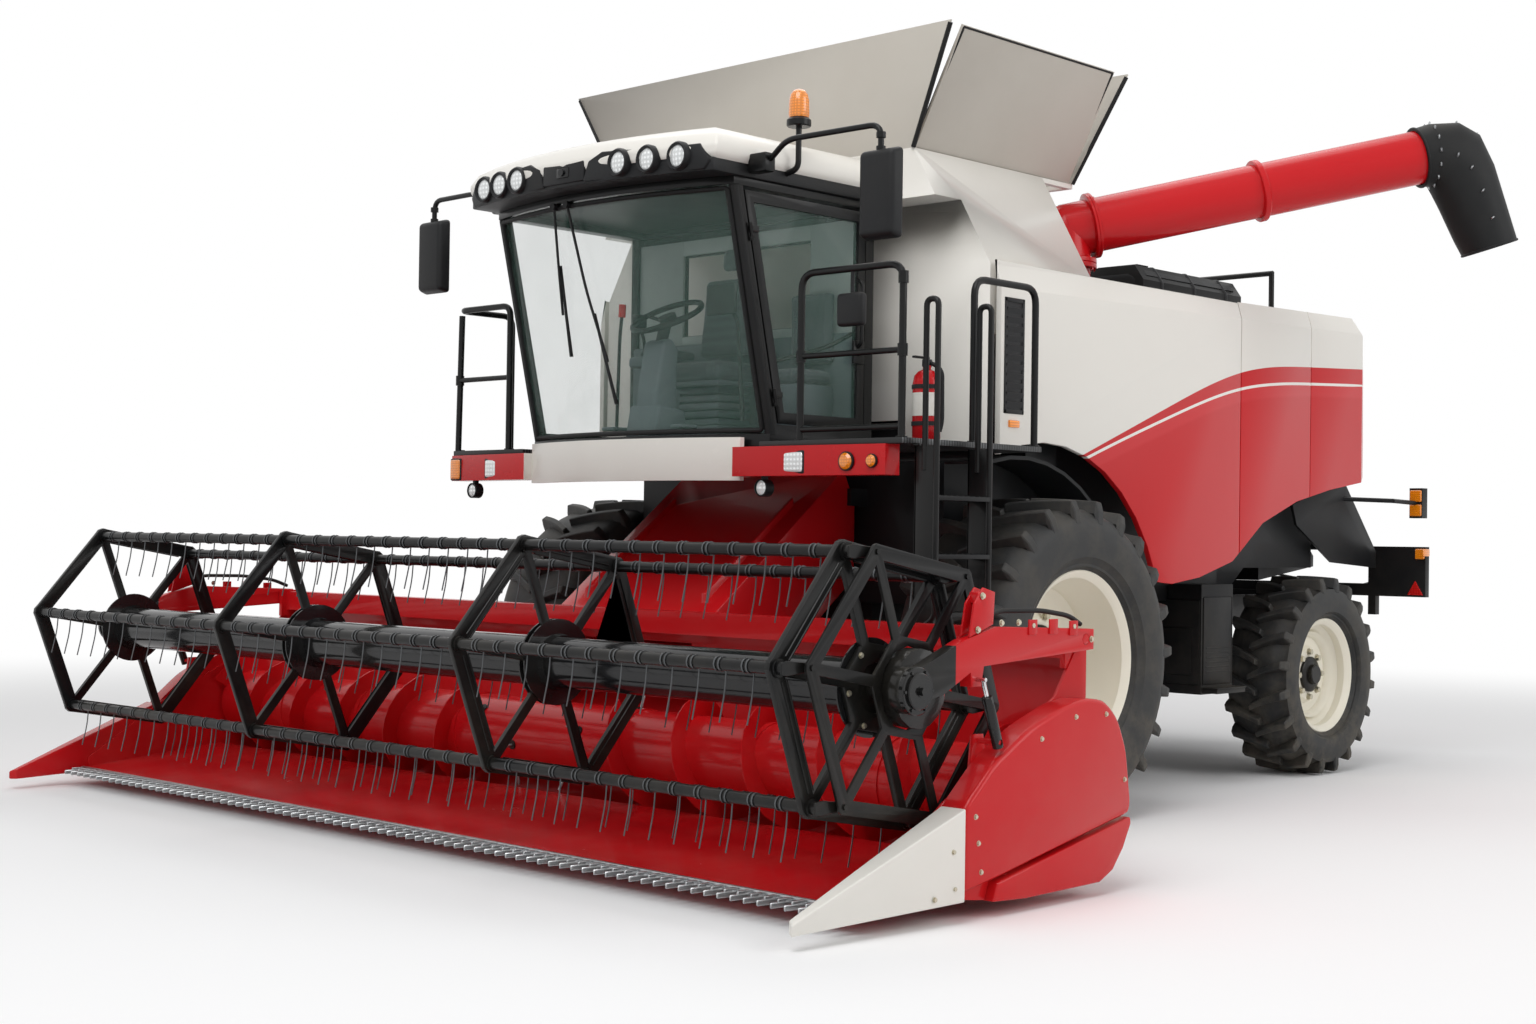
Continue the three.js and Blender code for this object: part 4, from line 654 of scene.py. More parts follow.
tank_paint = sprayed("tank_paint", WHITE, 0.34, 0.25, 0.2, shade_at=tank_shade)
finish_node("grain_tank", tank_paint, 0.004)
sheet_metal = sprayed("sheet_metal", WHITE, 0.42, 0.1, 0.25, shade_at=lambda finish: finish.blend(
    finish.noise(1.6, 5, 0.6), tone("b7b1a7"), tone("c6c1b8")))
for name in ("tank_flap_left", "tank_flap_right"):
    finish_node(name, sheet_metal, 0.003)


def rounded(points, bend, steps=5):
    """A path through the points, with its corners rounded."""
    path = [Vector(points[0])]
    for before, here, after in zip(points, points[1:], points[2:]):
        before, here, after = Vector(before), Vector(here), Vector(after)
        reach = min(bend, (before - here).length * 0.48, (after - here).length * 0.48)
        start = here + (before - here).normalized() * reach
        end = here + (after - here).normalized() * reach
        for i in range(steps + 1):
            t = i / steps
            path.append(start * (1 - t) ** 2 + here * 2 * t * (1 - t) + end * t * t)
    return path + [Vector(points[-1])]


def tube(points, radius, bend=0.06, sides=12, closed=False):
    """A bent tube as a bmesh, capped at its ends."""
    curve = bpy.data.curves.new("tube", "CURVE")
    curve.dimensions = "3D"
    path = rounded(points, bend)
    line = curve.splines.new("POLY")
    line.points.add(len(path) - 1)
    for point, spot in zip(line.points, path):
        point.co = (*spot, 1)
    line.use_cyclic_u = closed
    curve.bevel_depth = radius
    curve.bevel_resolution = max(0, sides // 2 - 2)
    curve.resolution_u = 1
    curve.use_fill_caps = not closed
    carrier = bpy.data.objects.new("tube", curve)
    mesh = bpy.data.meshes.new_from_object(carrier)
    bm = bmesh.new()
    bm.from_mesh(mesh)
    bpy.data.objects.remove(carrier)
    bpy.data.curves.remove(curve)
    bpy.data.meshes.remove(mesh)
    bmesh.ops.remove_doubles(bm, verts=bm.verts, dist=0.00001)
    return smooth(outward(bm))


def block(low, high, round_by=0.004, segments=2):
    """A box between two corners with rounded edges."""
    bm = bmesh.new()
    bmesh.ops.create_cube(bm, size=1)
    low, high = (Vector(ends) for ends in zip(*(sorted(span) for span in zip(low, high))))
    bm.transform(shift((low + high) / 2) @ Matrix.Diagonal((*(high - low), 1)))
    if round_by:
        round_edges(bm, bm.edges[:], round_by, segments)
    return smooth(bm)


def round_bar(start, end, radius, sides=20, end_radius=None):
    """A straight round bar, which may taper."""
    start, end = Vector(start), Vector(end)
    bm = bmesh.new()
    bmesh.ops.create_cone(bm, cap_ends=True, segments=sides, radius1=radius,
                          radius2=radius if end_radius is None else end_radius, depth=(end - start).length)
    turn_to = (end - start).to_track_quat("Z", "Y").to_matrix().to_4x4()
    bm.transform(shift((start + end) / 2) @ turn_to)
    return smooth(bm)


def plate(outline, axis, start, end, round_by=0.0, segments=2):
    """A flat outline across an axis, given thickness along it."""
    spread = {"x": lambda a, b, t: (t, a, b), "y": lambda a, b, t: (a, t, b), "z": lambda a, b, t: (a, b, t)}
    bm = bmesh.new()
    face = bm.faces.new([bm.verts.new(spread[axis](a, b, start)) for a, b in outline])
    grown = bmesh.ops.extrude_face_region(bm, geom=[face])
    moved = [v for v in grown["geom"] if isinstance(v, bmesh.types.BMVert)]
    bmesh.ops.translate(bm, verts=moved, vec=spread[axis](0, 0, end - start))
    outward(bm)
    if round_by:
        round_edges(bm, folds_over(bm, 25), round_by, segments)
    return smooth(bm)


for side, hand in ((1, "left"), (-1, "right")):
    low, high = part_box(f"tank_flap_{hand}")
    foot = min(abs(low.x), abs(high.x)) + 0.012
    top = max(abs(low.x), abs(high.x)) - 0.012
    seals = bmesh.new()
    for y in (low.y + 0.014, high.y - 0.014):
        points = [(side * (foot + 0.03), y, low.z + 0.09), (side * top, y, high.z - 0.012)]
        add(seals, tube(points, 0.013, sides=8))
    rim = [(side * top, y, high.z - 0.012) for y in (low.y + 0.01, high.y - 0.01)]
    add(seals, tube(rim, 0.011, sides=8))
    fit(f"tank_flap_seals_{hand}", seals, rubber, f"tank_flap_{hand}", "rubber")
low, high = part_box("grain_tank")
corner_seals = bmesh.new()
for side in (1, -1):
    for y_low, y_high in ((axle_y - 0.52, low.y + 0.01), (axle_y + 1.0, high.y - 0.01)):
        corner = [(side * 1.2, y_low, 3.74), (side * 1.522, y_high, high.z - 0.016)]
        add(corner_seals, tube(corner, 0.014, sides=8))
fit("tank_corner_seals", corner_seals, rubber, "chassis", "rubber")


# ---------------------------------------------------------------- glass
# Tinted safety glass: one curved windscreen bonded to the cab, and flat panes in the door and in
# the cab's right side.

tinted = Finish("tinted_glass")
film = tinted.noise(3, 5, 0.6).over(0.5, 0.6)
tinted_glass = tinted.surface({
    "Base Color": tinted.blend(film * 0.25, tone("6f9c8c"), tone("a9beb4")),
    "Roughness": film * 0.03 + 0.015,
    "IOR": 1.45,
    "Alpha": film * 0.03 + 0.09,
    "Coat Weight": 1.0,
    "Coat Roughness": 0.02})
for name in ("windscreen", "door_glass", "cab_right_glass"):
    finish_node(name, tinted_glass, 0.001)


# ---------------------------------------------------------------- knife and guards
# Forged guards bolted to the cutter bar every three inches, with hardened knife sections between
# them. The cutting faces are bright, and the guards are scoured by the crop.

low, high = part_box("knife_bar")
guard_pitch = 0.0762
guard_line = [(-0.021, high.y - 0.02), (-0.018, low.y + 0.03), (-0.004, low.y - 0.055),
              (0.004, low.y - 0.055), (0.018, low.y + 0.03), (0.021, high.y - 0.02)]
guard = plate(guard_line, "z", low.z + 0.002, high.z - 0.012, 0.004, 1)
add(guard, plate([(-0.013, high.y - 0.03), (-0.005, low.y - 0.01), (0.005, low.y - 0.01),
                  (0.013, high.y - 0.03)], "z", high.z - 0.014, high.z - 0.001, 0.002, 1))
guard_shape = to_mesh("guard", guard)
blade = plate([(-0.036, high.y - 0.012), (-0.006, high.y - 0.068), (0.006, high.y - 0.068),
               (0.036, high.y - 0.012)], "z", high.z - 0.013, high.z - 0.009)
section_shape = to_mesh("section", blade)
guards = block((low.x, high.y - 0.022, low.z + 0.004), (high.x, high.y, high.z), 0.003)
blades = block((low.x + 0.02, high.y - 0.02, high.z - 0.009),
               (high.x - 0.02, high.y - 0.004, high.z - 0.001), 0.001)
for i in range(int((high.x - low.x) / guard_pitch)):
    place = shift((low.x + guard_pitch * (i + 0.5), 0, 0))
    stamp(guards, guard_shape, place)
    stamp(blades, section_shape, place)
fit("knife_guards", guards, bright_steel, "header", "steel", "knife_bar")
fit("knife_sections", blades, chromed, "header", "steel")


# ---------------------------------------------------------------- header auger
# A rolled steel drum with a spiral flight welded on from each end, which feeds the crop to the
# middle, where retracting fingers pass it back.

def collar(inner, outer, start, end, steps):
    """A plain ring round the X axis, between two radii."""
    section = [(inner, start), (outer, start), (outer, end), (inner, end), (inner, start)]
    return smooth(turned(section, steps))


auger_centre = middle("header_auger")
drum_radius, flight_radius, flight_end, feed_half, flight_pitch = 0.2, 0.3, 3.1, 0.64, 0.48
auger = turned([(0, -flight_end), (0.045, -flight_end), (0.045, -flight_end + 0.012),
                (drum_radius, -flight_end + 0.012), (drum_radius, flight_end - 0.012),
                (0.045, flight_end - 0.012), (0.045, flight_end), (0, flight_end)], 56)
smooth(auger)
turns = (flight_end - 0.02 - feed_half) / flight_pitch
for side in (1, -1):
    spiral = bmesh.new()
    start = 2 * pi * feed_half / flight_pitch
    ends = [spiral.verts.new((feed_half, r * cos(start), r * sin(start)))
            for r in (drum_radius - 0.004, flight_radius)]
    first = spiral.edges.new(ends)
    steps = ceil(turns * 26)
    bmesh.ops.spin(spiral, geom=ends + [first], cent=(0, 0, 0), axis=(1, 0, 0),
                   dvec=(turns * flight_pitch / steps, 0, 0), angle=2 * pi * turns, steps=steps)
    outward(spiral)
    bmesh.ops.solidify(spiral, geom=spiral.faces[:], thickness=0.007)
    spiral.transform(handed(side))
    outward(spiral)
    add(auger, smooth(spiral))
    for x in (feed_half + 0.02, 1.6, 2.4):
        add(auger, collar(drum_radius - 0.002, drum_radius + 0.007, x, x + 0.03, 56), handed(side))
outward(auger)
auger.transform(shift(auger_centre))
fit("auger_drum_and_flights", auger, red_paint, "header_auger", "red_paint", "header_auger")
fingers = bmesh.new()
cups = bmesh.new()
for row in range(12):
    angle = row * 2.4
    x = -0.58 + row * 1.16 / 11
    along = Vector((0, cos(angle), sin(angle)))
    foot = Vector((x, 0, 0)) + along * (drum_radius - 0.01)
    add(fingers, round_bar(foot, foot + along * 0.098, 0.008, 10))
    add(cups, round_bar(foot, foot + along * 0.018, 0.026, 16))
for bm, name, material in ((fingers, "auger_fingers", bright_steel), (cups, "finger_guides", black_paint)):
    bm.transform(shift(auger_centre))
    fit(name, bm, material, "header_auger", "steel" if material == bright_steel else "black_paint")


# ---------------------------------------------------------------- header steelwork
# The header's floor, back sheet and beam are folded and welded plate, sprayed red. Each end has a
# shield over its drives and a pointed crop divider, held by small zinc screws.

finish_node("header_frame", red_paint, 0.004)
for _ in range(2):  # rounded twice, so that its heavy plate rolls wider at the folds
    finish_node("feeder_house", red_paint, 0.006)
finish_node("left_divider", white_paint, 0.007, 20, 3)
finish_node("right_divider", red_paint, 0.007, 20, 3)


def side_screws(name, side, face, spots, body, radius=0.009):
    """Small zinc screws on a side face, at distances under it, behind the front axle and up."""
    bm = bmesh.new()
    turn_to = Vector((1, 0, 0)).rotation_difference(Vector((side, 0, 0))).to_matrix().to_4x4()
    for under, along, z in spots:
        spot = shift(yz(side * (face - under), along, z))
        add(bm, bolt(radius, radius * 0.9), spot @ turn_to)
    fit(name, outward(bm), zinc, body, "galvanised_sheet")


for side, hand in ((1, "left"), (-1, "right")):
    low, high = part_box(f"{hand}_end_shield")
    inner, outer = sorted((abs(low.x), abs(high.x)))
    upper_line = side_view([
        (-2.62, 0.125), (-2.62, 0.47), (-2.42, 0.64), (-2.18, 0.768), (-1.93, 0.85), (-1.76, 0.877),
        (-1.62, 0.862), (-1.52, 0.78), (-1.45, 0.64), (-1.41, 0.4), (-1.42, 0.345), (-2.4, 0.16)])
    lower_line = side_view([
        (-2.40, 0.145), (-1.425, 0.33), (-1.42, 0.30), (-1.48, 0.195), (-1.56, 0.105), (-1.66, 0.062),
        (-2.2, 0.056), (-2.43, 0.068)])
    back_line = side_view([(-2.6, 0.09), (-2.35, 0.06), (-1.9, 0.058), (-1.9, 0.2), (-2.6, 0.2)])
    upper = plate([tuple(p)[:2] for p in rounded([(a, b, 0) for a, b in upper_line], 0.05, 3)],
                  "x", inner, outer - 0.006)
    rim = [e for e in folds_over(upper, 60) if all(v.co.x > outer - 0.01 for v in e.verts)]
    round_edges(upper, rim, 0.022, 4)
    shell = smooth(upper, 40)
    add(shell, plate(lower_line, "x", outer - 0.09, outer, 0.009, 3))
    add(shell, plate(back_line, "x", inner, outer - 0.05, 0.004))
    shell.transform(handed(side))
    fit(f"{hand}_shield_shell", outward(shell), red_paint, "header", "red_paint", f"{hand}_end_shield")
    rim_screws = ((-2.55, 0.43), (-2.53, 0.32), (-2.51, 0.2), (-1.62, 0.8), (-1.47, 0.5), (-2.1, 0.72),
                  (-1.85, 0.8))
    for label, spots in (
            ("shield", [(0.007, along, z) for along, z in rim_screws]),
            ("panel", [(0.009, -2.36, 0.115), (0.009, -1.5, 0.27), (0.009, -1.62, 0.12)]),
            ("divider", [(0.008, -2.68, 0.15), (0.008, -2.69, 0.3), (0.014, -2.8, 0.12)])):
        side_screws(f"{hand}_{label}_screws", side, outer, spots, "header")


# ---------------------------------------------------------------- reel
# A glossy rolled tube carries hexagonal stars of folded plate, sprayed black. Six bat tubes turn in
# the stars' corners, and each holds a row of spring-steel tines, clipped round the tube.

finish_node("reel_frame", black_paint, 0.004)
finish_node("reel_eccentric", black_paint, 0.003)
reel_centre = middle("reel_frame")
gloss_black = sprayed("gloss_black", tone("141517"), 0.12, 0.9, 0.06)
star_x = [2.99, 1.0, -1.0, -2.99]
tube_skin = collar(0.1, 0.1195, -2.975, 2.975, 64)
for x in star_x:
    for hand in (1, -1):
        edge = x + hand * 0.014
        ring = [(0.112, edge), (0.205, edge), (0.205, edge + hand * 0.008), (0.135, edge + hand * 0.010),
                (0.128, edge + hand * 0.05), (0.112, edge + hand * 0.05), (0.112, edge)]
        if abs(edge) < 2.99:
            add(tube_skin, smooth(turned(ring, 40)))
tube_skin.transform(shift(reel_centre))
fit("reel_tube_skin", tube_skin, gloss_black, "reel", "black_paint")

hub_bolts = bmesh.new()
channels = bmesh.new()
corner_radius, reel_phase = 0.59, radians(-10)
for x in star_x:
    side = 1 if x > 0 else -1
    for i in range(6):
        angle = reel_phase + i * pi / 3
        corner = Vector((x, corner_radius * cos(angle), corner_radius * sin(angle)))
        following = angle + pi / 3
        other = Vector((x, corner_radius * cos(following), corner_radius * sin(following)))
        spot = (x + side * 0.013, 0.165 * cos(angle + 0.26), 0.165 * sin(angle + 0.26))
        add(hub_bolts, bolt(0.010, 0.010), shift(spot) @ about("Z", 0 if x > 0 else pi))
        inward = -((corner + other) / 2 - Vector((x, 0, 0))).normalized()
        for lift in (0.004, 0.030):
            run = (other - corner).normalized()
            start = corner + run * 0.06 + inward * lift
            end = other - run * 0.06 + inward * lift
            add(channels, round_bar(start, end, 0.0045, 6), shift((side * 0.015, 0, 0)))
for bm in (hub_bolts, channels):
    bm.transform(shift(reel_centre))
fit("reel_hub_bolts", outward(hub_bolts), zinc, "reel", "galvanised_sheet")
fit("reel_star_flanges", channels, black_paint, "reel", "black_paint")

spring_steel = metal("spring_steel", tone("5c5e60"), 0.32, dust=0.05)
tine = tube([(0, 0.03, 0.012), (0, 0.031, -0.02), (0, 0.024, -0.11), (0, -0.005, -0.232)], 0.0034, 0.05, 6)
for x in (-0.012, 0.012):
    add(tine, collar(0.0265, 0.031, x - 0.004, x + 0.004, 12))
add(tine, block((-0.016, 0.024, -0.006), (0.016, 0.036, 0.014), 0.002, 1))
tine_shape = to_mesh("tine", tine)
tine_pitch = 0.154
for i in range(6):
    name = f"reel_bat_{i + 1}"
    low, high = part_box(name)
    angle = reel_phase + i * pi / 3
    centre = reel_centre + Vector((0, corner_radius * cos(angle), corner_radius * sin(angle)))
    bat_line = [(0, low.x), (0.023, low.x), (0.0264, low.x + 0.004), (0.0264, 3.05), (0, 3.05)]
    bat_tube = smooth(turned(bat_line, 20))
    for x in star_x:
        for hand in (1, -1):
            ring_x = x + hand * 0.02
            add(bat_tube, collar(0.024, 0.036, ring_x - 0.006, ring_x + 0.006, 20))
    crank = plate([(-0.03, -0.024), (0.0, -0.03), (0.122, -0.018), (0.132, 0), (0.122, 0.018), (0.0, 0.03),
                   (-0.03, 0.024)], "x", 3.043, 3.053, 0.002, 1)
    add(bat_tube, crank)
    add(bat_tube, round_bar((3.044, 0.11, 0), (high.x, 0.11, 0), 0.0112, 16))
    bat_tube.transform(shift((0, centre.y, centre.z)))
    fit(f"bat_tube_{i + 1}", bat_tube, black_paint, name, "black_paint", name)
    row = bmesh.new()
    count = int(5.7 / tine_pitch)
    for n in range(count + 1):
        x = -tine_pitch * count / 2 + n * tine_pitch
        if min(abs(x - s) for s in star_x) > 0.05:
            stamp(row, tine_shape, shift((x, centre.y, centre.z)))
    fit(f"bat_tines_{i + 1}", row, spring_steel, name, "steel")


# ---------------------------------------------------------------- reel arms and their cylinders
# Box-section arms on pins at the header's back corners, red behind and black round the reel's
# bearing. A short cylinder lifts each one, fed by a hose along the arm.

def lay_block(bm, low, high, *rounding):
    """Adds a block between two points, measured from the front axle."""
    add(bm, block(yz(*low), yz(*high), *rounding))


def arm_shade(finish):
    along = finish.axes()["Y"] - axle_y
    return finish.blend(along.over(-2.62, 0.004), BLACK, RED)


arm_paint = sprayed("arm_paint", RED, 0.28, 0.5, shade_at=arm_shade)
for side, hand in ((1, "left"), (-1, "right")):
    name = f"reel_arm_{hand}"
    finish_node(name, arm_paint, 0.004)
    inner, outer = 3.146, 3.206
    cover = bmesh.new()
    for radius, start, depth in ((0.098, outer, 0.022), (0.075, outer + 0.022, 0.014)):
        add(cover, smooth(turned([(0, start), (radius, start), (radius, start + depth - 0.004),
                                  (radius - 0.005, start + depth), (0, start + depth)], 40)))
    add(cover, bolt(0.017, 0.018), shift((outer + 0.036, 0, 0)))
    for i in range(6):
        angle = i * pi / 3
        spot = (outer + 0.022, 0.085 * cos(angle), 0.085 * sin(angle))
        add(cover, bolt(0.007, 0.007), shift(spot))
    cover.transform(shift((0, reel_centre.y, reel_centre.z)))
    cover.transform(handed(side))
    fit(f"reel_bearing_cover_{hand}", outward(cover), gloss_black, "reel_arms", "black_paint")
    top = bmesh.new()
    bracket = side_view([(-2.53, 1.16), (-2.50, 1.30), (-2.44, 1.365), (-2.36, 1.345), (-2.37, 1.21)])
    for x in (inner + 0.004, outer - 0.012):
        add(top, plate(bracket, "x", x, x + 0.010, 0.002))
    lay_block(top, (inner + 0.006, -2.47, 1.30), (outer - 0.006, -2.39, 1.345), 0.004)
    for a, b in ((-2.1, 1.195), (-1.95, 1.195), (-1.8, 1.185)):
        lay_block(top, (outer - 0.001, a - 0.03, b - 0.035), (outer + 0.007, a + 0.03, b + 0.03), 0.002)
    top.transform(handed(side))
    fit(f"reel_arm_bracket_{hand}", outward(top), red_paint, "reel_arms", "red_paint")
    spots = [(-2.45, 1.33), (-2.48, 1.19), (-2.32, 1.215), (-2.2, 1.215), (-2.1, 1.2), (-1.8, 1.19),
             (-1.66, 1.13)]
    spots = [(-0.001, along, z) for along, z in spots]
    side_screws(f"reel_arm_bolts_{hand}", side, outer, spots, "reel_arms", 0.011)
    hose = tube([yz(side * 3.17, -2.41, 1.23), yz(side * 3.17, -2.3, 1.265), yz(side * 3.175, -2.0, 1.262),
                 yz(side * 3.17, -1.78, 1.235), yz(side * 3.16, -1.68, 1.195)], 0.011, 0.06, 10)
    fit(f"reel_arm_hose_{hand}", hose, rubber, "reel_arms", "rubber")
    finish_node(f"reel_cylinder_{hand}", gloss_black, 0.002)
    finish_node(f"reel_rod_{hand}", chromed, 0.001)
finish_node("lift_cylinder_barrels", black_paint, 0.003)
finish_node("lift_cylinder_rods", chromed, 0.001)


# ---------------------------------------------------------------- cab shell and door
# A welded tube frame sprayed black, with a bonded windscreen under black rubber. The left door has
# its own frame, a grab handle and a latch, and hangs on two hinges on the front pillar.

def lay_bar(bm, start, end, *sizes):
    """Adds a round bar between two points, measured from the front axle."""
    add(bm, round_bar(yz(*start), yz(*end), *sizes))


finish_node("cab_frame", black_paint, 0.005)
finish_node("cab_door", black_paint, 0.005)
cab_floor, cab_top, cab_half, lean = 2.11, 3.40, 0.97, 0.231


def screen_point(x, z, out=0.0):
    """A point on the curved windscreen, pushed out from it."""
    bow = axle_y - 1.40 - 0.16 * (1 - (x / cab_half) ** 2)
    return (x, bow + 0.012 - lean * (z - cab_floor) - out, z)


screen_seal = bmesh.new()
half = cab_half - 0.045
row = lambda z: [screen_point(-half + 2 * half * i / 16, z, 0.004) for i in range(17)]
loop = row(cab_floor + 0.02) + list(reversed(row(cab_top - 0.02)))
add(screen_seal, tube(loop + loop[:1], 0.014, 0.02, 8))
for side in (1, -1):
    pillar = [screen_point(side * (cab_half - 0.02), z, -0.02) for z in (cab_floor, cab_top)]
    add(screen_seal, tube(pillar, 0.03, sides=12))
fit("windscreen_seal", screen_seal, rubber, "chassis", "rubber")

handle = tube([yz(cab_half + out, -0.72, z) for out, z in ((0.002, 2.62), (0.045, 2.64), (0.045, 2.98),
                                                           (0.002, 3.0))], 0.012, 0.03)
lay_block(handle, (cab_half - 0.004, -0.75, 2.53), (cab_half + 0.016, -0.66, 2.66), 0.006)
lay_bar(handle, (cab_half + 0.014, -0.71, 2.59), (cab_half + 0.026, -0.71, 2.59), 0.018)
fit("door_handle", handle, black_paint, "cab_door", "black_paint")
bar = tube([yz(cab_half - 0.05, -1.45, 2.52), yz(cab_half - 0.09, -1.3, 2.50),
            yz(cab_half - 0.09, -0.85, 2.62), yz(cab_half - 0.05, -0.7, 2.70)], 0.013, 0.06)
fit("door_pull_bar", bar, black_paint, "cab_door", "black_paint")

wipers = bmesh.new()
for pivot_x, tip in ((-0.28, (-0.36, 2.62)), (-0.16, (-0.02, 2.34))):
    top = screen_point(pivot_x, 3.385, 0.03)
    elbow = screen_point(pivot_x + (tip[0] - pivot_x) * 0.45, 3.385 + (tip[1] - 3.385) * 0.45, 0.04)
    end = screen_point(tip[0], tip[1] + 0.18, 0.028)
    add(wipers, tube([top, elbow, end], 0.008, 0.1, 8))
    add(wipers, round_bar(screen_point(pivot_x, 3.385, -0.01), screen_point(pivot_x, 3.385, 0.045), 0.02))
    blade_top = screen_point(tip[0] - (tip[0] - pivot_x) * 0.45, tip[1] + 0.45, 0.016)
    add(wipers, tube([blade_top, screen_point(tip[0], tip[1] - 0.05, 0.016)], 0.009, sides=8))
    add(wipers, tube([blade_top, screen_point(tip[0], tip[1] - 0.05, 0.005)], 0.005, sides=6))
fit("wipers", wipers, plastic, "chassis", "black_paint")


# ---------------------------------------------------------------- cab roof and work lights
# A moulded off-white cap over a black visor. The visor holds three round work lights on each side
# of a camera, and its underside shades the windscreen.

roof_half, roof_base = 1.02, cab_top + 0.04
roof_front = lambda x, out: axle_y - 1.40 - 0.298 - 0.16 * (1 - (x / roof_half) ** 2) - out


def roof_outline(half, out, back):
    """The roof's outline from above: a bowed front edge and two square corners behind."""
    across = [-half + 2 * half * i / 14 for i in range(15)]
    return [(x, roof_front(x, out)) for x in across] + [(half, back), (-half, back)]


cap = bmesh.new()
levels = [(3.505, 0.99, 0.150, 0), (3.53, 1.015, 0.176, 0), (3.575, 1.019, 0.18, 0.0),
          (3.64, 0.985, 0.135, 0.02), (3.69, 0.90, 0.04, 0.07), (3.722, 0.76, -0.12, 0.17),
          (3.738, 0.52, -0.36, 0.36)]
back_y = axle_y - 0.56
loops = []
for z, half, out, back in levels:
    verts = [cap.verts.new((a, b, z)) for a, b in roof_outline(half, out, back_y - back)]
    loops.append([cap.edges.new(pair) for pair in zip(verts, verts[1:] + verts[:1])])
for lower, upper in zip(loops, loops[1:]):
    bmesh.ops.bridge_loops(cap, edges=lower + upper)
for ring in (loops[0], loops[-1]):
    bmesh.ops.edgeloop_fill(cap, edges=ring)
outward(cap)
roof_cap = fit("roof_cap", smooth(cap, 50), white_paint, "chassis", "white_paint")
round_folds(roof_cap, 0.012, 3, 35)

visor = plate(roof_outline(0.995, 0.168, back_y), "z", roof_base + 0.003, 3.512, 0.008)
for side in (1, -1):
    pod = plate([(side * 0.16, 3.452), (side * 0.95, 3.448), (side * 0.985, 3.50), (side * 0.93, 3.585),
                 (side * 0.30, 3.60), (side * 0.20, 3.56)], "y", 0, 0.24, 0.012)
    for vert in pod.verts:
        vert.co.y += roof_front(vert.co.x, 0.172) - 0.012
    add(visor, pod)
add(visor, block((-0.17, roof_front(0, 0.178), 3.46), (0.17, roof_front(0, 0.0), 3.57), 0.01))
fit("roof_visor", visor, plastic, "chassis", "black_paint", "cab_roof")
camera_eye = round_bar((0, roof_front(0, 0.172), 3.518), (0, roof_front(0, 0.196), 3.518), 0.02)
add(camera_eye, block((-0.05, roof_front(0, 0.184), 3.49), (0.05, roof_front(0, 0.172), 3.546), 0.008))
fit("roof_camera", camera_eye, gloss_black, "chassis", "black_paint")


def lamp_glass(name, shade, glow=0.15, lines=160.0, clear=False):
    """A moulded lamp lens: ribbed, glossy and a little self-lit, with painted shade between its ribs."""
    finish = Finish(name)
    spot = finish.axes()
    ribs, cross_ribs = [(spot[axis] * lines).made("SINE") * 0.5 + 0.5 for axis in "ZX"]
    grid = ribs * cross_ribs
    # The lens keeps its own colour on the ribs and is painted darker in the valleys between them, as painted
    # shade. Its glow follows the same pattern.
    deep = tuple(c * 0.62 for c in shade[:3]) + (1,)
    return finish.surface({
        "Base Color": finish.blend(grid, deep, shade),
        "Roughness": grid * 0.12 + 0.06,
        "Metallic": grid * (0.6 if clear else 0.0),
        "Emission Color": finish.blend(grid, deep, shade),
        "Emission Strength": glow,
        "Coat Weight": 1.0,
        "Coat Roughness": 0.03,
        "Normal": finish.bump(grid, 0.0015, 0.6)})


clear_lens = lamp_glass("clear_lens", tone("e9ecec"), 0.25, 260, True)
amber_lens = lamp_glass("amber_lens", tone("f08a12"), 0.3, 420)
red_lens = lamp_glass("red_lens", tone("d81f1c"), 0.15, 500)


def round_lamp(bodies, lenses, x, y, z, radius, back=0.05):
    """One round lamp that faces forward: a dished bezel and a domed lens."""
    bezel = turned([(radius * 0.9, 0.012), (radius * 1.08, 0.016), (radius * 1.2, 0.004),
                    (radius * 1.2, -back), (0, -back), (0, -0.004), (radius * 0.9, -0.004),
                    (radius * 0.9, 0.012)], 28)
    lens_shape = turned([(0, 0.016), (radius * 0.5, 0.013), (radius * 0.8, 0.007), (radius * 0.93, 0),
                         (radius * 0.93, -0.006), (0, -0.006)], 28)
    spot = shift((x, y, z)) @ about("Z", -pi / 2)
    add(bodies, smooth(bezel), spot)
    add(lenses, smooth(lens_shape), spot)


housings, lenses = bmesh.new(), bmesh.new()
for side in (1, -1):
    for x in (0.42, 0.61, 0.80):
        round_lamp(housings, lenses, side * x, roof_front(x, 0.184) + 0.002, 3.528, 0.064)
fit("work_light_housings", outward(housings), plastic, "chassis", "black_paint")
fit("work_light_lenses", lenses, clear_lens, "chassis", "chrome")


# ---------------------------------------------------------------- mirrors and beacon
# Black moulded mirror heads on bent tube arms from the roof's front corners, and an amber beacon
# on a short mast beside the roof.

def cube(*sizes):
    """A sharp block round the origin."""
    bm = bmesh.new()
    bmesh.ops.create_cube(bm, size=1)
    bm.transform(Matrix.Diagonal((*sizes, 1)))
    return bm


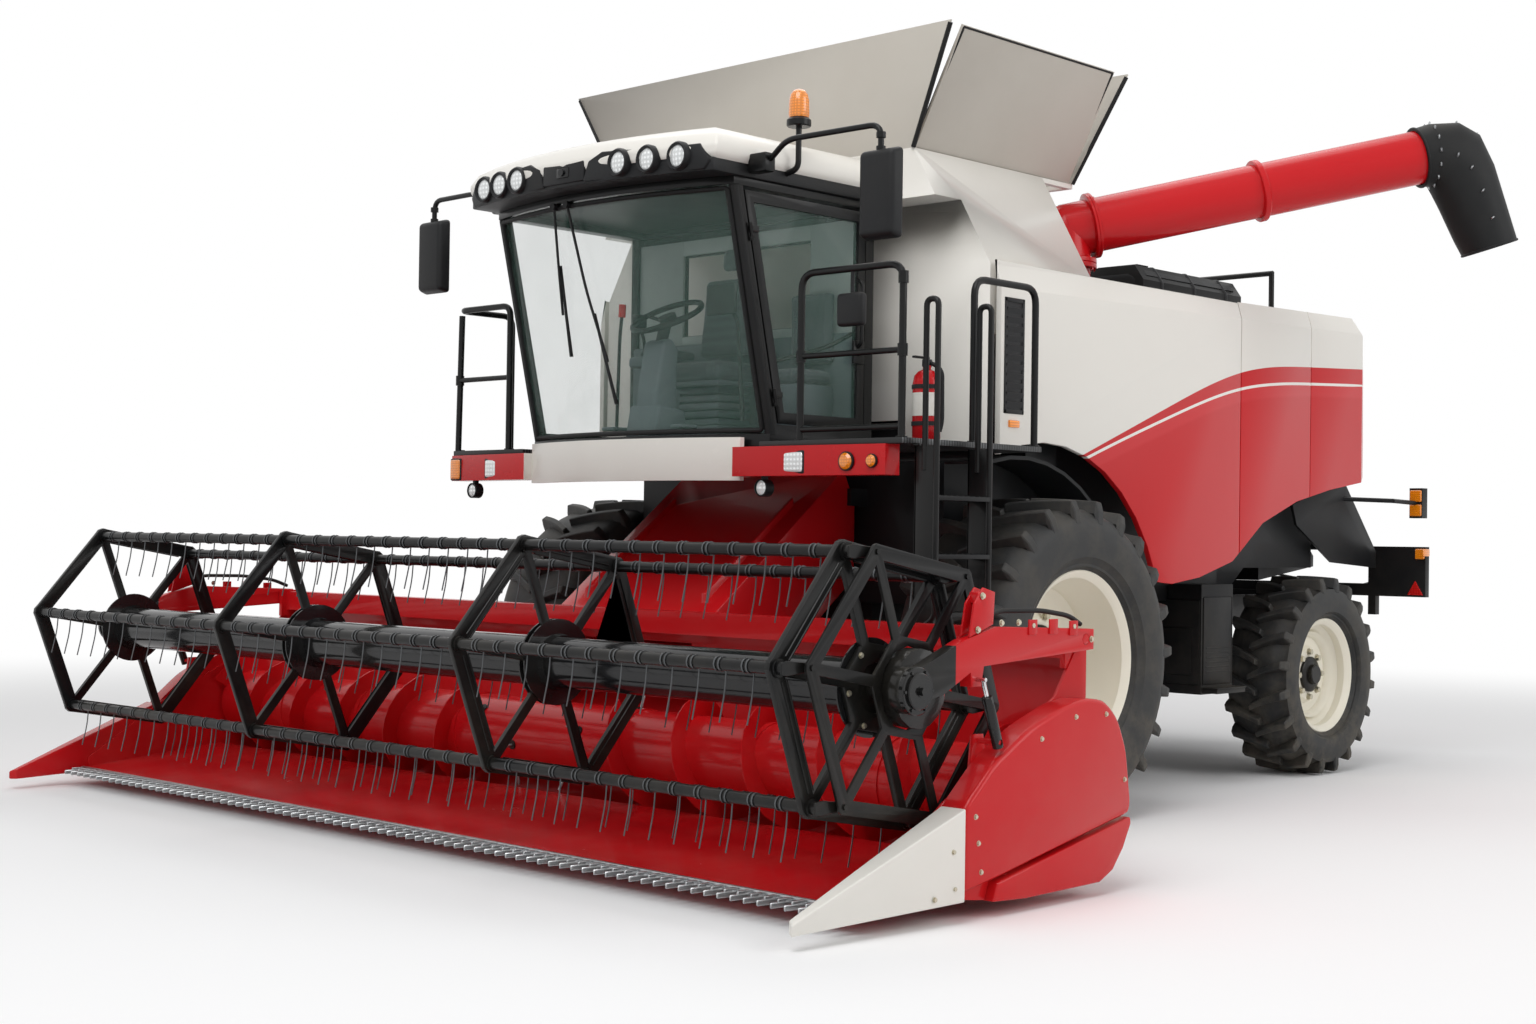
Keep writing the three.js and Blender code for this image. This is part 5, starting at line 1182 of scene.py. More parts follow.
silvered = metal("mirror_face", tone("cfd6da"), 0.02, (3, 3, 3), 0.05)
for side, hand, head_x in ((1, "left", 1.89), (-1, "right", 1.725)):
    arm_y, arm_z = axle_y - 1.6, cab_top + 0.13
    arm = tube([(side * (roof_half - 0.06), arm_y + 0.06, arm_z - 0.02),
                (side * 1.10, arm_y + 0.02, arm_z - 0.02), (side * 1.28, arm_y - 0.03, arm_z + 0.07),
                (side * head_x, arm_y, arm_z + 0.075), (side * head_x, arm_y, arm_z - 0.24)], 0.0155,
               0.07)
    add(arm, block((side * 1.0, arm_y - 0.03, arm_z - 0.07), (side * 1.13, arm_y + 0.05, arm_z + 0.03),
                   0.012))
    for z in (arm_z - 0.05, arm_z + 0.02):
        add(arm, round_bar((side * head_x, arm_y, z - 0.014), (side * head_x, arm_y, z + 0.014), 0.024))
    fit(f"mirror_arm_{hand}", arm, black_paint, "chassis", "black_paint")
    head = cube(0.25, 0.085, 0.46)
    for vert in head.verts:
        if vert.co.y < 0:
            vert.co.x *= 0.86
            vert.co.z *= 0.9
    round_edges(head, head.edges[:], 0.026, 4)
    head.transform(shift((side * head_x, arm_y - 0.0025, arm_z - 0.27)))
    fit(f"mirror_head_{hand}", smooth(head), plastic, "chassis", "black_paint")
    face = block((side * head_x - 0.105, arm_y + 0.036, arm_z - 0.475),
                 (side * head_x + 0.105, arm_y + 0.0415, arm_z - 0.065), 0.002)
    fit(f"mirror_face_{hand}", face, silvered, "chassis", "chrome")
mast_x, mast_y = 1.075, axle_y - 1.32
mast = tube([(0.99, mast_y, 3.50), (mast_x, mast_y, 3.52), (mast_x, mast_y, 3.76)], 0.016, 0.05)
add(mast, smooth(turned([(0, 0), (0.06, 0), (0.066, 0.006), (0.066, 0.035), (0.05, 0.05), (0, 0.05)], 32)),
    shift((mast_x, mast_y, 3.74)) @ about("Y", -pi / 2))
fit("beacon_mast", mast, black_paint, "chassis", "black_paint")
dome = turned([(0.052, 0), (0.056, 0.01), (0.054, 0.09), (0.048, 0.12), (0.034, 0.142), (0.016, 0.15),
               (0, 0.152)], 32)
dome.transform(shift((mast_x, mast_y, 3.79)) @ about("Y", -pi / 2))
fit("beacon_dome", smooth(dome), amber_lens, "chassis", "trim_plastic")


# ---------------------------------------------------------------- seats
# A sprung operator's seat and a fixed instructor's seat. Foam pads are covered in woven black and
# grey cloth, sewn with two seams along each pad.

def woven(name, shade, other):
    """Cloth whose threads cross every few millimetres, worn to its other shade."""
    finish = Finish(name)
    spot = finish.axes()
    thread = 900
    x_wave, y_wave, z_wave = [(spot[axis] * thread).made("SINE") * 0.5 + 0.5 for axis in "XYZ"]
    weave = x_wave * y_wave + z_wave * 0.5
    worn = finish.noise(6, 4, 0.6)
    return finish.surface({
        "Base Color": finish.blend(weave.over(0.7, 0.5), finish.blend(worn, shade, other), other),
        "Roughness": 0.78 + worn * 0.15,
        "Sheen Weight": 0.3,
        "Normal": finish.bump(weave, 0.0006, 0.7)})


swell_room, voxel, swell_steps, foam_fill = 0.008, 0.012, 12, 0.7
seam_places, seam_half, seam_depth = (0.27, 0.40), 0.012, 0.006
seat_cloth = woven("seat_cloth", tone("33383b"), tone("5f666a"))


def pad(name, low, high, lean_back=0.0, cap=0.012):
    """A foam pad: a block that swells in its cover by up to a cap, with seams along it."""
    low, high = Vector(low), Vector(high)
    size = high - low
    bm = cube(*(length - 2 * swell_room for length in size))
    round_edges(bm, bm.edges[:], min(0.03, min(size) * 0.35), 3)
    start = mesh_object(name, bm, seat_cloth)
    fine = start.modifiers.new("fine", "REMESH")
    fine.mode = "VOXEL"
    fine.voxel_size = voxel
    with bpy.context.temp_override(object=start, active_object=start, selected_objects=[start]):
        bpy.ops.object.modifier_apply(modifier="fine")
    rest = [v.co.copy() for v in start.data.vertices]
    swell = start.modifiers.new("swell", "CLOTH")
    swell.settings.use_pressure = True
    swell.settings.uniform_pressure_force = 4
    swell.settings.effector_weights.gravity = 0
    for step in range(swell_steps):
        scene.frame_set(step + 1)
    shown = start.evaluated_get(bpy.context.evaluated_depsgraph_get())
    swollen = [v.co.copy() for v in shown.data.vertices]
    start.modifiers.remove(swell)
    scene.frame_set(1)
    for vert, before, after in zip(start.data.vertices, rest, swollen):
        move = after - before
        if move.length > cap:
            move = move.normalized() * cap
        from_seams = [abs(abs(before.x) - size.x * place) / seam_half for place in seam_places]
        seam = sum(1 - away for away in from_seams if away < 1) * seam_depth
        vert.co = before + move - before.normalized() * seam
        for axis in range(3):
            limit = size[axis] / 2
            vert.co[axis] = max(-limit, min(limit, vert.co[axis]))
    start.data.transform(about("X", lean_back))
    start.data.transform(shift((low + high) / 2))
    shade_smooth(start)
    finer = start.modifiers.new("finer", "SUBSURF")
    finer.levels = finer.render_levels = 1
    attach(start, "chassis")


pad("seat_cushion", yz(-0.25, -1.08, 2.445), yz(0.25, -0.66, 2.568))
pad("seat_backrest", yz(-0.235, -0.765, 2.60), yz(0.235, -0.665, 3.10), radians(-7))
pad("seat_headrest", yz(-0.13, -0.70, 3.125), yz(0.13, -0.63, 3.275), radians(-5), 0.008)
pad("armrest_pad", yz(-0.40, -1.12, 2.60), yz(-0.27, -0.72, 2.665), 0, 0.006)
pad("second_seat_cushion", yz(0.43, -0.975, 2.42), yz(0.775, -0.66, 2.505), 0, 0.008)
pad("second_seat_backrest", yz(0.435, -0.71, 2.53), yz(0.775, -0.645, 2.965), 0, 0.008)


# ---------------------------------------------------------------- cab interior
# Dark moulded consoles on a rubber floor mat: a steering column with its wheel, the armrest console
# with the drive lever, a screen on a stalk, and the seats' bases.

def lay_tube(bm, points, *sizes):
    """Adds a bent tube through points, measured from the front axle."""
    add(bm, tube([yz(*point) for point in points], *sizes))


trim = moulded("cab_trim", tone("5a6266"), 0.5, 1100, 0.05)
inside = block(yz(-0.18, -1.01, 2.112), yz(0.18, -0.70, 2.20), 0.02)
for level in range(5):
    z = 2.20 + level * 0.046
    lay_block(inside, (-0.165, -0.99, z), (0.165, -0.72, z + 0.04), 0.014)
lay_block(inside, (-0.23, -1.06, 2.425), (0.23, -0.66, 2.455), 0.01)
lay_block(inside, (-0.42, -0.90, 2.111), (0.78, -0.72, 2.15), 0.01)
lay_block(inside, (0.45, -0.96, 2.14), (0.76, -0.66, 2.42), 0.02)
lay_block(inside, (-0.41, -1.17, 2.54), (-0.25, -0.71, 2.605), 0.02, 3)
lay_block(inside, (-0.36, -0.86, 2.14), (-0.29, -0.76, 2.56), 0.012)
column = side_view([(-1.43, 2.112), (-1.23, 2.112), (-1.235, 2.5), (-1.225, 2.62), (-1.28, 2.68),
                    (-1.345, 2.66), (-1.39, 2.42)])
add(inside, plate(column, "x", -0.085, 0.085, 0.02, 3))
column_foot = side_view([(-1.45, 2.112), (-1.2, 2.112), (-1.2, 2.27), (-1.41, 2.30)])
add(inside, plate(column_foot, "x", -0.125, 0.125, 0.02, 3))
for x in (0.27, -0.3):
    lay_block(inside, (x - 0.05, -1.42, 2.16), (x + 0.05, -1.30, 2.18), 0.006)
lay_block(inside, (-0.93, -0.655, 2.12), (0.93, -0.60, 2.72), 0.012)
fit("cab_consoles", inside, trim, "chassis", "trim_plastic", "cab_interior")
lining = block(yz(-0.93, -0.62, 2.70), yz(-0.525, -0.598, 3.36), 0.008)
lay_block(lining, (0.525, -0.62, 2.70), (0.93, -0.598, 3.36), 0.008)
lay_block(lining, (-0.53, -0.62, 3.27), (0.53, -0.598, 3.36), 0.008)
lay_block(lining, (-0.53, -0.62, 2.70), (0.53, -0.598, 2.775), 0.008)
fit("cab_lining", lining, moulded("cab_lining", tone("a3aba8"), 0.6, 1100, 0.05), "chassis", "trim_plastic")
mat = block(yz(-0.9, -1.42, 2.1105), yz(0.9, -0.66, 2.118), 0.003)
fit("floor_mat", mat, rubber, "chassis", "rubber")

wheel_tilt = radians(28)
wheel_centre = Vector(yz(0, -1.245, 2.81))
wheel_place = shift(wheel_centre) @ about("X", wheel_tilt)
ring = turned([(0.1925, 0), (0.197, -0.012), (0.2085, -0.0165), (0.220, -0.012), (0.2245, 0), (0.220, 0.012),
               (0.2085, 0.0165), (0.197, 0.012), (0.1925, 0)], 48)
ring.transform(about("Y", pi / 2))
steering = smooth(ring)
for angle in (0.2, pi - 0.2, -pi / 2):
    spoke = [(r * cos(angle), r * sin(angle), z) for r, z in ((0.03, -0.03), (0.11, -0.02), (0.2, 0))]
    add(steering, tube(spoke, 0.011, 0.05))
add(steering, round_bar((0, 0, -0.05), (0, 0, 0.006), 0.052, 32))
steering.transform(wheel_place)
lay_bar(steering, (0, -1.29, 2.65), (0, -1.25, 2.78), 0.034)
fit("steering_wheel", steering, plastic, "chassis", "trim_plastic")

lever = tube([yz(-0.33, -1.10, 2.60), yz(-0.33, -1.12, 2.72), yz(-0.325, -1.16, 2.78)], 0.010, 0.04)
lay_block(lever, (-0.36, -1.20, 2.76), (-0.29, -1.12, 2.85), 0.022, 3)
lay_tube(lever, [(-0.26, -1.385, 2.13), (-0.26, -1.37, 2.7), (-0.25, -1.365, 2.82)], 0.010, 0.1)
lay_tube(lever, [(0.62, -1.25, 2.2), (0.62, -1.30, 2.75), (0.56, -1.31, 2.82)], 0.012, 0.06)
lay_block(lever, (0.40, -1.33, 2.78), (0.62, -1.30, 2.95), 0.01)
fit("levers_and_screen", lever, plastic, "chassis", "trim_plastic")
knob = round_bar(yz(-0.25, -1.365, 2.82), yz(-0.247, -1.364, 2.875), 0.021, 24)
round_edges(knob, [e for e in knob.edges if e.calc_face_angle(0) > 1], 0.009, 3)
fit("lever_knob", smooth(knob, 60), red_paint, "chassis", "red_paint")


# ---------------------------------------------------------------- front bumper and its lamps
# A white folded apron under the windscreen with red ends. Each end carries a square headlamp and
# an amber side lamp, and two small round lamps hang below.

def bumper_shade(finish):
    across = abs(finish.axes()["X"])
    return finish.blend(across.over(0.861, 0.002), WHITE, RED)


bumper_paint = sprayed("bumper_paint", WHITE, 0.26, 0.5, 0.05, shade_at=bumper_shade)
finish_node("front_bumper", bumper_paint, 0.010, 32, 3)
bezels, head_lenses, side_lenses = bmesh.new(), bmesh.new(), bmesh.new()
for side, lamp_x, end_x, hang_x in ((1, 1.27, 1.86, 1.02), (-1, 1.20, 1.64, -1.42)):
    front = lambda x: axle_y - 1.57 + 0.07 * (x - 0.86) / (end_x - 0.86)
    y = front(lamp_x + 0.1)
    for bm, grow, out in ((bezels, 0.012, 0.006), (head_lenses, 0.0, 0.012)):
        add(bm, block((side * (lamp_x - 0.07 - grow), y - out, 1.895 - grow),
                      (side * (lamp_x + 0.07 + grow), y + 0.03, 2.005 + grow), 0.016, 3))
    if side > 0:
        for x, r in ((1.62, 0.042), (1.78, 0.03)):
            spot = shift((x, front(x), 1.95)) @ about("Z", -pi / 2)
            lens_line = [(0, 0.03), (r * 0.7, 0.026), (r, 0.014), (r, -0.01), (0, -0.01)]
            bezel_line = [(r, -0.01), (r * 1.18, -0.01), (r * 1.18, 0.01), (r, 0.012), (r, -0.01)]
            add(side_lenses, smooth(turned(lens_line, 28)), spot)
            add(bezels, smooth(turned(bezel_line, 28)), spot)
    else:
        add(side_lenses, block((-1.632, front(1.6) - 0.02, 1.89), (-1.54, front(1.6) + 0.02, 2.01), 0.012,
                               3))
        add(bezels, block((-1.639, front(1.6) - 0.012, 1.882), (-1.53, front(1.6) + 0.03, 2.018), 0.01, 3))
    spot = shift((hang_x, axle_y - 1.5, 1.82)) @ about("Z", -pi / 2)
    add(bezels, smooth(turned([(0.04, 0.02), (0.046, 0.016), (0.046, -0.04), (0, -0.05)], 24)), spot)
    lay_block(bezels, (hang_x - 0.012, -1.50, 1.84), (hang_x + 0.012, -1.47, 1.90), 0.003)
    lens_line = [(0, 0.02), (0.03, 0.016), (0.04, 0.008), (0.04, -0.005), (0, -0.005)]
    add(head_lenses, smooth(turned(lens_line, 24)), spot)
for bm, name, material, slot in ((bezels, "bumper_lamp_bezels", plastic, "black_paint"),
                                 (head_lenses, "headlamp_lenses", clear_lens, "chrome"),
                                 (side_lenses, "side_lamp_lenses", amber_lens, "trim_plastic")):
    outward(bm)
    fit(name, bm, material, "chassis", slot)


# ---------------------------------------------------------------- platforms and handrails
# Chequered steel plates on a cross bearer, with bent tube handrails welded on, all sprayed black.
# A small rear-view mirror is clamped to the left rail.

chequer = Finish("chequer_plate")
spot = chequer.axes()
diagonal = lambda sign: ((spot["X"] + spot["Y"] * sign) * 150).made("SINE")
studs = (diagonal(1) * diagonal(-1)).over(0.55, 0.2)
tread_wear = chequer.noise(3, 5, 0.65).over(0.5, 0.4) * studs
chequer_plate = chequer.surface({
    "Base Color": chequer.blend(tread_wear, BLACK, tone("6c6e70")),
    "Metallic": tread_wear * 0.8,
    "Roughness": 0.5 - tread_wear * 0.15,
    "Normal": chequer.bump(studs, 0.002, 0.8)})

plate_low, plate_top = 2.0353, 2.0653
decks = block(yz(0.978, -1.49, plate_low), yz(1.96, -0.33, plate_top), 0.003)
lay_block(decks, (-1.64, -1.49, plate_low), (-0.978, -0.33, plate_top), 0.003)
fit("platform_plates", decks, chequer_plate, "chassis", "black_paint", "cab_platforms")
rail_top, rail_radius = 2.93, 0.019
front_y, z = -1.467, plate_top - 0.004
rear_x = 1.938
rails = bmesh.new()
for path, bend in (
        ([(1.25, front_y, z), (1.25, front_y, rail_top), (1.935, front_y, rail_top), (1.935, front_y, z)],
         0.09),
        ([(rear_x, -0.90, z), (rear_x, -0.90, rail_top - 0.02), (rear_x, -0.37, rail_top - 0.02),
          (rear_x, -0.37, z)], 0.09),
        ([(-1.13, -1.47, z), (-1.13, -1.47, rail_top), (-1.618, -1.47, rail_top), (-1.618, -1.06, rail_top),
          (-1.618, -1.06, z)], 0.07)):
    add(rails, tube([yz(*point) for point in path], rail_radius, bend, 16))
for path in ([(1.25, front_y, 2.5), (1.935, front_y, 2.5)], [(1.25, front_y, 2.12), (1.935, front_y, 2.12)],
             [(-1.13, -1.47, 2.5), (-1.618, -1.47, 2.5)]):
    add(rails, tube([yz(*point) for point in path], 0.0155))
lay_tube(rails, [(-1.618, -1.47, z), (-1.618, -1.455, rail_top - 0.03)], rail_radius)
for x, a in ((1.25, front_y), (1.935, front_y), (rear_x, -0.90), (rear_x, -0.37), (-1.13, -1.465),
             (-1.612, -1.46), (-1.612, -1.06)):
    lay_block(rails, (x - 0.022, a - 0.022, plate_top - 0.001), (x + 0.022, a + 0.022, plate_top + 0.007),
              0.003)
for x, a, b in ((1.935, front_y, 2.5), (1.25, front_y, 2.5), (-1.618, -1.465, 2.5), (1.935, front_y, 2.86)):
    lay_bar(rails, (x, a, b - 0.03), (x, a, b + 0.03), 0.026, 20)
lay_block(rails, (-1.60, -0.64, plate_low - 0.05), (1.75, -0.58, plate_low), 0.004)
for side in (1, -1):
    lay_block(rails, (side * 0.85, -0.60, plate_low - 0.05), (side * 0.92, -0.262, plate_low), 0.004)
lay_block(rails, (1.94, -1.404, plate_low - 0.009), (1.992, -1.382, plate_low + 0.004), 0.002)
fit("platform_rails", rails, black_paint, "chassis", "black_paint", "cab_platforms")
small = cube(0.17, 0.06, 0.17)
round_edges(small, small.edges[:], 0.022, 3)
small.transform(shift(yz(1.60, front_y - 0.005, 2.72)))
lay_tube(small, [(1.60, front_y, 2.72), (1.60, front_y, rail_top)], 0.011)
fit("rail_mirror", smooth(small), plastic, "chassis", "black_paint")


# ---------------------------------------------------------------- ladder
# Two folded stiles with five pressed treads between them, and a bent tube handrail on each side.
# It swings out on a pin at its front stile.

stile_x, top_z, bottom_z = 1.966, 2.0253, 0.5753
ladder = bmesh.new()
for a in (-1.40, -0.974):
    lay_block(ladder, (stile_x, a, bottom_z), (stile_x + 0.13, a + 0.014, top_z), 0.003)
    lay_block(ladder, (stile_x, a, bottom_z), (stile_x + 0.012, a + 0.014, top_z), 0.002)
    mid = a + 0.007
    lay_tube(ladder, [(stile_x + 0.06, mid, top_z - 0.12), (stile_x + 0.06, mid, 2.75),
                      (stile_x + 0.134, mid, 2.75), (stile_x + 0.134, mid, bottom_z + 0.6),
                      (stile_x + 0.07, mid, bottom_z + 0.56)], 0.0155, 0.06, 14)
steps = bmesh.new()
for i in range(5):
    z = bottom_z + 0.02 + i * 0.29
    lay_block(steps, (stile_x, -1.388, z), (stile_x + 0.149, -0.972, z + 0.024), 0.004)
    for n in range(9):
        a = -1.36 + n * 0.045
        lay_block(steps, (stile_x + 0.02, a, z + 0.023), (stile_x + 0.13, a + 0.012, z + 0.0275), 0.001, 1)
fit("ladder_stiles", ladder, black_paint, "ladder", "black_paint", "ladder")
fit("ladder_treads", steps, dark_steel, "ladder", "black_paint", "ladder")


# ---------------------------------------------------------------- fire extinguisher
# A red steel bottle with a black squeeze valve and hose, strapped to the platform beside the door.
# Its label is left blank.

bottle_x, bottle_a, bottle_z = 1.76, -1.06, plate_top
standing_here = shift(yz(bottle_x, bottle_a, bottle_z)) @ about("Y", -pi / 2)


def by_bottle(x, along, z):
    """A point from the middle of the bottle's foot."""
    return yz(bottle_x + x, bottle_a + along, bottle_z + z)


bottle = turned([(0, 0.0), (0.066, 0.004), (0.073, 0.016), (0.074, 0.30), (0.066, 0.338), (0.045, 0.362),
                 (0.022, 0.372), (0.022, 0.392), (0, 0.392)], 40)
bottle.transform(standing_here)
fit("extinguisher_bottle", smooth(outward(bottle)), red_paint, "chassis", "red_paint")
valve = block(by_bottle(-0.02, -0.02, 0.385), by_bottle(0.02, 0.02, 0.425), 0.005)
add(valve, block(by_bottle(-0.012, -0.11, 0.425), by_bottle(0.012, 0.01, 0.437), 0.004))
hose = [by_bottle(0.01, 0.01, 0.41), by_bottle(0.085, 0.02, 0.37), by_bottle(0.088, 0.02, 0.1),
        by_bottle(0.08, 0.01, 0.05)]
add(valve, tube(hose, 0.011, 0.06))
for z in (0.08, 0.27):
    add(valve, collar(0.0745, 0.078, z, z + 0.022, 40), standing_here)
fit("extinguisher_valve", outward(valve), plastic, "chassis", "black_paint")
paper = Finish("blank_label")
# The label is darker in random patches.
label_mottle = paper.noise(30, 4, 0.6)
blank_label = paper.surface({
    "Base Color": paper.blend(label_mottle, tone("f1efe9"), tone("dcd8ce")),
    "Roughness": label_mottle * 0.2 + 0.4})
label = bmesh.new()
label_radius, label_start = 0.0749, -0.9
edge = [label.verts.new(by_bottle(label_radius * sin(label_start), -label_radius * cos(label_start), z))
        for z in (0.13, 0.25)]
line = label.edges.new(edge)
bmesh.ops.spin(label, geom=edge + [line], cent=yz(bottle_x, bottle_a, 0), axis=(0, 0, 1), dvec=(0, 0, 0),
               angle=2.4, steps=14)
bmesh.ops.solidify(outward(label), geom=label.faces[:], thickness=0.0008)
fit("extinguisher_label", smooth(label), blank_label, "chassis", "trim_plastic")


# ---------------------------------------------------------------- unloading auger
# A rolled steel tube, sprayed red, on a flanged elbow that turns on a bolted ring. Its end carries a
# moulded black rubber spout, clamped and riveted on, that hangs down over the trailer.

auger_axis = Vector(yz(1.17, 0.96, 0))
auger_rise = radians(13)
sloping = shift((0, 0, 3.45)) @ about("Y", -auger_rise)
swung = shift(auger_axis) @ about("Z", radians(47))
upright = about("Y", -pi / 2)


def standing(profile):
    """A turned form standing on the swing axis: pairs of radius and height."""
    bm = turned(profile, 48)
    bm.transform(upright)
    return smooth(outward(bm))


def along_tube(profile):
    """A turned form on the sloping tube: pairs of radius and distance from the swing axis."""
    bm = turned([(r, x / cos(auger_rise)) for r, x in profile], 48)
    bm.transform(sloping)
    return smooth(outward(bm))


elbow = standing([
    (0, 2.251), (0.203, 2.251), (0.205, 2.256), (0.205, 2.276), (0.201, 2.28), (0.168, 2.282),
    (0.164, 2.29), (0.164, 3.214), (0.168, 3.221), (0.199, 3.221), (0.201, 3.225), (0.201, 3.247),
    (0.198, 3.25), (0, 3.25)])
for n in range(12):
    add(elbow, bolt(0.014, 0.012), about("Z", n * pi / 6) @ shift((0.186, 0, 2.281)))
for n in range(12):
    spot = about("Z", n * pi / 6 + 0.2) @ shift((0.184, 0, 3.2195))
    add(elbow, bolt(0.012, 0.009), spot @ about("X", pi))
elbow.transform(shift(auger_axis))
fit("unloading_elbow_skin", elbow, red_paint, "chassis", "red_paint", "unloading_elbow")

pipe_end = 2.268
tube_piece = standing([(0, 3.2515), (0.198, 3.2515), (0.201, 3.255), (0.201, 3.277), (0.198, 3.28),
                       (0.168, 3.281), (0.1645, 3.29), (0.1645, 3.45), (0.156, 3.503), (0.128, 3.555),
                       (0.082, 3.593), (0, 3.613)])
add(tube_piece, along_tube([(0, 0.0), (0.1645, 0.0), (0.1645, 0.149), (0.195, 0.150), (0.200, 0.153),
                            (0.200, 0.166), (0.196, 0.168), (0.200, 0.170), (0.200, 0.183),
                            (0.195, 0.186), (0.1645, 0.187), (0.1645, 1.178), (0.187, 1.180),
                            (0.190, 1.184), (0.190, 1.212), (0.187, 1.216), (0.1645, 1.218),
                            (0.1645, pipe_end), (0.150, pipe_end), (0.150, 0.4), (0, 0.4)]))
for n in range(12):
    spot = sloping @ about("X", n * pi / 6) @ shift((0.186 / cos(auger_rise), 0, 0.183))
    add(tube_piece, bolt(0.011, 0.011), spot @ about("Y", pi / 2))
for n in range(12):
    spot = about("Z", n * pi / 6 + 0.2) @ shift((0.184, 0, 3.279))
    add(tube_piece, bolt(0.012, 0.010), spot)
tube_piece.transform(swung)
fit("unloading_tube_skin", tube_piece, red_paint, "unloading_auger", "red_paint", "unloading_tube")

spout = bmesh.new()
rings = []
for x, z, lean, deep, wide in (
        (2.185, 3.954, -13, 0.178, 0.178), (2.27, 3.972, -5, 0.192, 0.186), (2.375, 3.945, 15, 0.240, 0.188),
        (2.46, 3.870, 24, 0.262, 0.188), (2.53, 3.730, 33, 0.236, 0.188), (2.592, 3.565, 49, 0.190, 0.188),
        (2.655, 3.405, 72, 0.163, 0.188)):
    at = shift((x, 0, z)) @ about("Y", pi / 2 + radians(lean))
    made = bmesh.ops.create_circle(spout, segments=48, radius=1,
                                   matrix=at @ Matrix.Diagonal((deep, wide, 1, 1)))
    rings.append((at, deep, wide, list({edge for vert in made["verts"] for edge in vert.link_edges})))
for before, after in zip(rings, rings[1:]):
    bmesh.ops.bridge_loops(spout, edges=before[3] + after[3])
bmesh.ops.solidify(outward(spout), geom=spout.faces[:], thickness=0.009)
smooth(outward(spout), 40)
rivets = bmesh.new()
clamp_row = [(n + 0.5) * pi / 7 for n in range(14)]
joint_row = [pi / 2, -pi / 2, pi]
for (at, deep, wide, _), row in zip(rings[1:6], [clamp_row] + [joint_row] * 4):
    for turn in row:
        spot = shift((deep * cos(turn), wide * sin(turn), 0)) @ about("Z", turn)
        add(rivets, bolt(0.012, 0.006), at @ spot @ about("Y", pi / 2))
at, deep, wide, _ = rings[0]
lip = [at @ Vector(((deep + 0.003) * cos(n * pi / 18), (wide + 0.003) * sin(n * pi / 18),
                    0.008)) for n in range(36)]
add(spout, tube(lip, 0.008, 0.01, 10, True))
at, deep, wide, _ = rings[-1]
lip = [at @ Vector((deep * cos(n * pi / 18), (wide - 0.004) * sin(n * pi / 18), -0.006)) for n in range(36)]
add(spout, tube(lip, 0.008, 0.01, 10, True))
spout.transform(swung)
rivets.transform(swung)
fit("unloading_spout_skin", spout, rubber, "unloading_auger", "rubber", "unloading_spout")
fit("spout_rivets", rivets, bright_steel, "unloading_auger", "steel")


# ---------------------------------------------------------------- engine deck
# Folded black steel deck and skirt, with the moulded air intake strapped on, the cooling box with
# its woven wire screen, the exhaust stack and a bent tube rail across the back.

finish_node("engine_deck", sprayed("deck_paint", BLACK, 0.42, 0.1, 0.16), 0.004)
finish_node("engine", dark_steel, 0.01)
deck_top = 3.066
canister_line = [(0.415, 0), (0.905, 0), (0.905, 0.252), (0.833, 0.354), (0.487, 0.354), (0.415, 0.252)]
canister = plate([(x, deck_top + z) for x, z in canister_line],
                 "y", axle_y + 2.245, axle_y + 3.505, 0.085, 5)
strap_line = [(0.411, 0), (0.909, 0), (0.909, 0.254), (0.835, 0.358), (0.485, 0.358), (0.411, 0.254)]
for a in (2.45, 2.86, 3.27):
    add(canister, plate([(x, deck_top + z) for x, z in strap_line],
                        "y", axle_y + a, axle_y + a + 0.045, 0.02, 3))
for n in range(7):
    a = 2.30 + n * 0.02
    lay_block(canister, (0.50, a, deck_top + 0.353), (0.82, a + 0.01, deck_top + 0.362), 0.002, 1)
fit("air_intake", canister, plastic, "chassis", "trim_plastic")
works = bmesh.new()
lay_block(works, (-1.456, 1.314, deck_top), (-0.554, 2.766, deck_top + 0.04), 0.006)
lay_block(works, (-1.30, 1.40, deck_top + 0.325), (-0.60, 2.68, deck_top + 0.345), 0.008)
for n in range(9):
    a = 1.46 + n * 0.145
    lay_block(works, (-1.28, a, deck_top + 0.344), (-0.62, a + 0.02, deck_top + 0.358), 0.003, 1)
for x, a, b in ((-0.3, 1.35, 2.9), (0.2, 1.3, 2.1), (1.25, 1.6, 3.3)):
    lay_block(works, (x, a, deck_top - 0.001), (x + 0.22, b, deck_top + 0.05), 0.008)
lay_tube(works, [(0.62, 2.24, deck_top + 0.15), (0.62, 2.0, deck_top + 0.15),
                 (0.30, 1.95, deck_top + 0.14), (0.26, 1.95, deck_top - 0.01)], 0.075, 0.12, 20)
for n in range(8):
    z = deck_top + 0.012 + n * 0.012
    hoop = [yz(0.26 + 0.079 * cos(k * pi / 6), 1.95 + 0.079 * sin(k * pi / 6), z) for k in range(12)]
    add(works, tube(hoop, 0.004, 0.01, 6, True))
fit("deck_works", works, black_paint, "chassis", "black_paint")
stack = turned([(0, 0), (0.09, 0), (0.095, 0.02), (0.095, 0.26), (0.07, 0.30), (0.05, 0.32), (0.048, 0.46),
                (0.044, 0.46), (0.043, 0.32), (0, 0.31)], 36)
stack.transform(shift(yz(0.10, 2.62, deck_top)) @ upright)
stack_steel = metal("stack_steel", tone("5b5048"), 0.5, dust=0.3)
fit("exhaust_stack", smooth(outward(stack)), stack_steel, "chassis", "steel")
screen = Finish("radiator_screen")
spot = screen.axes()
wires = lambda axis: (spot[axis] * 520).made("SINE").over(0.2, 0.5)
mesh_lines = wires("Y").most(wires("Z")).most(wires("X"))
chaff = screen.noise(14, 5, 0.7).over(0.55, 0.2)
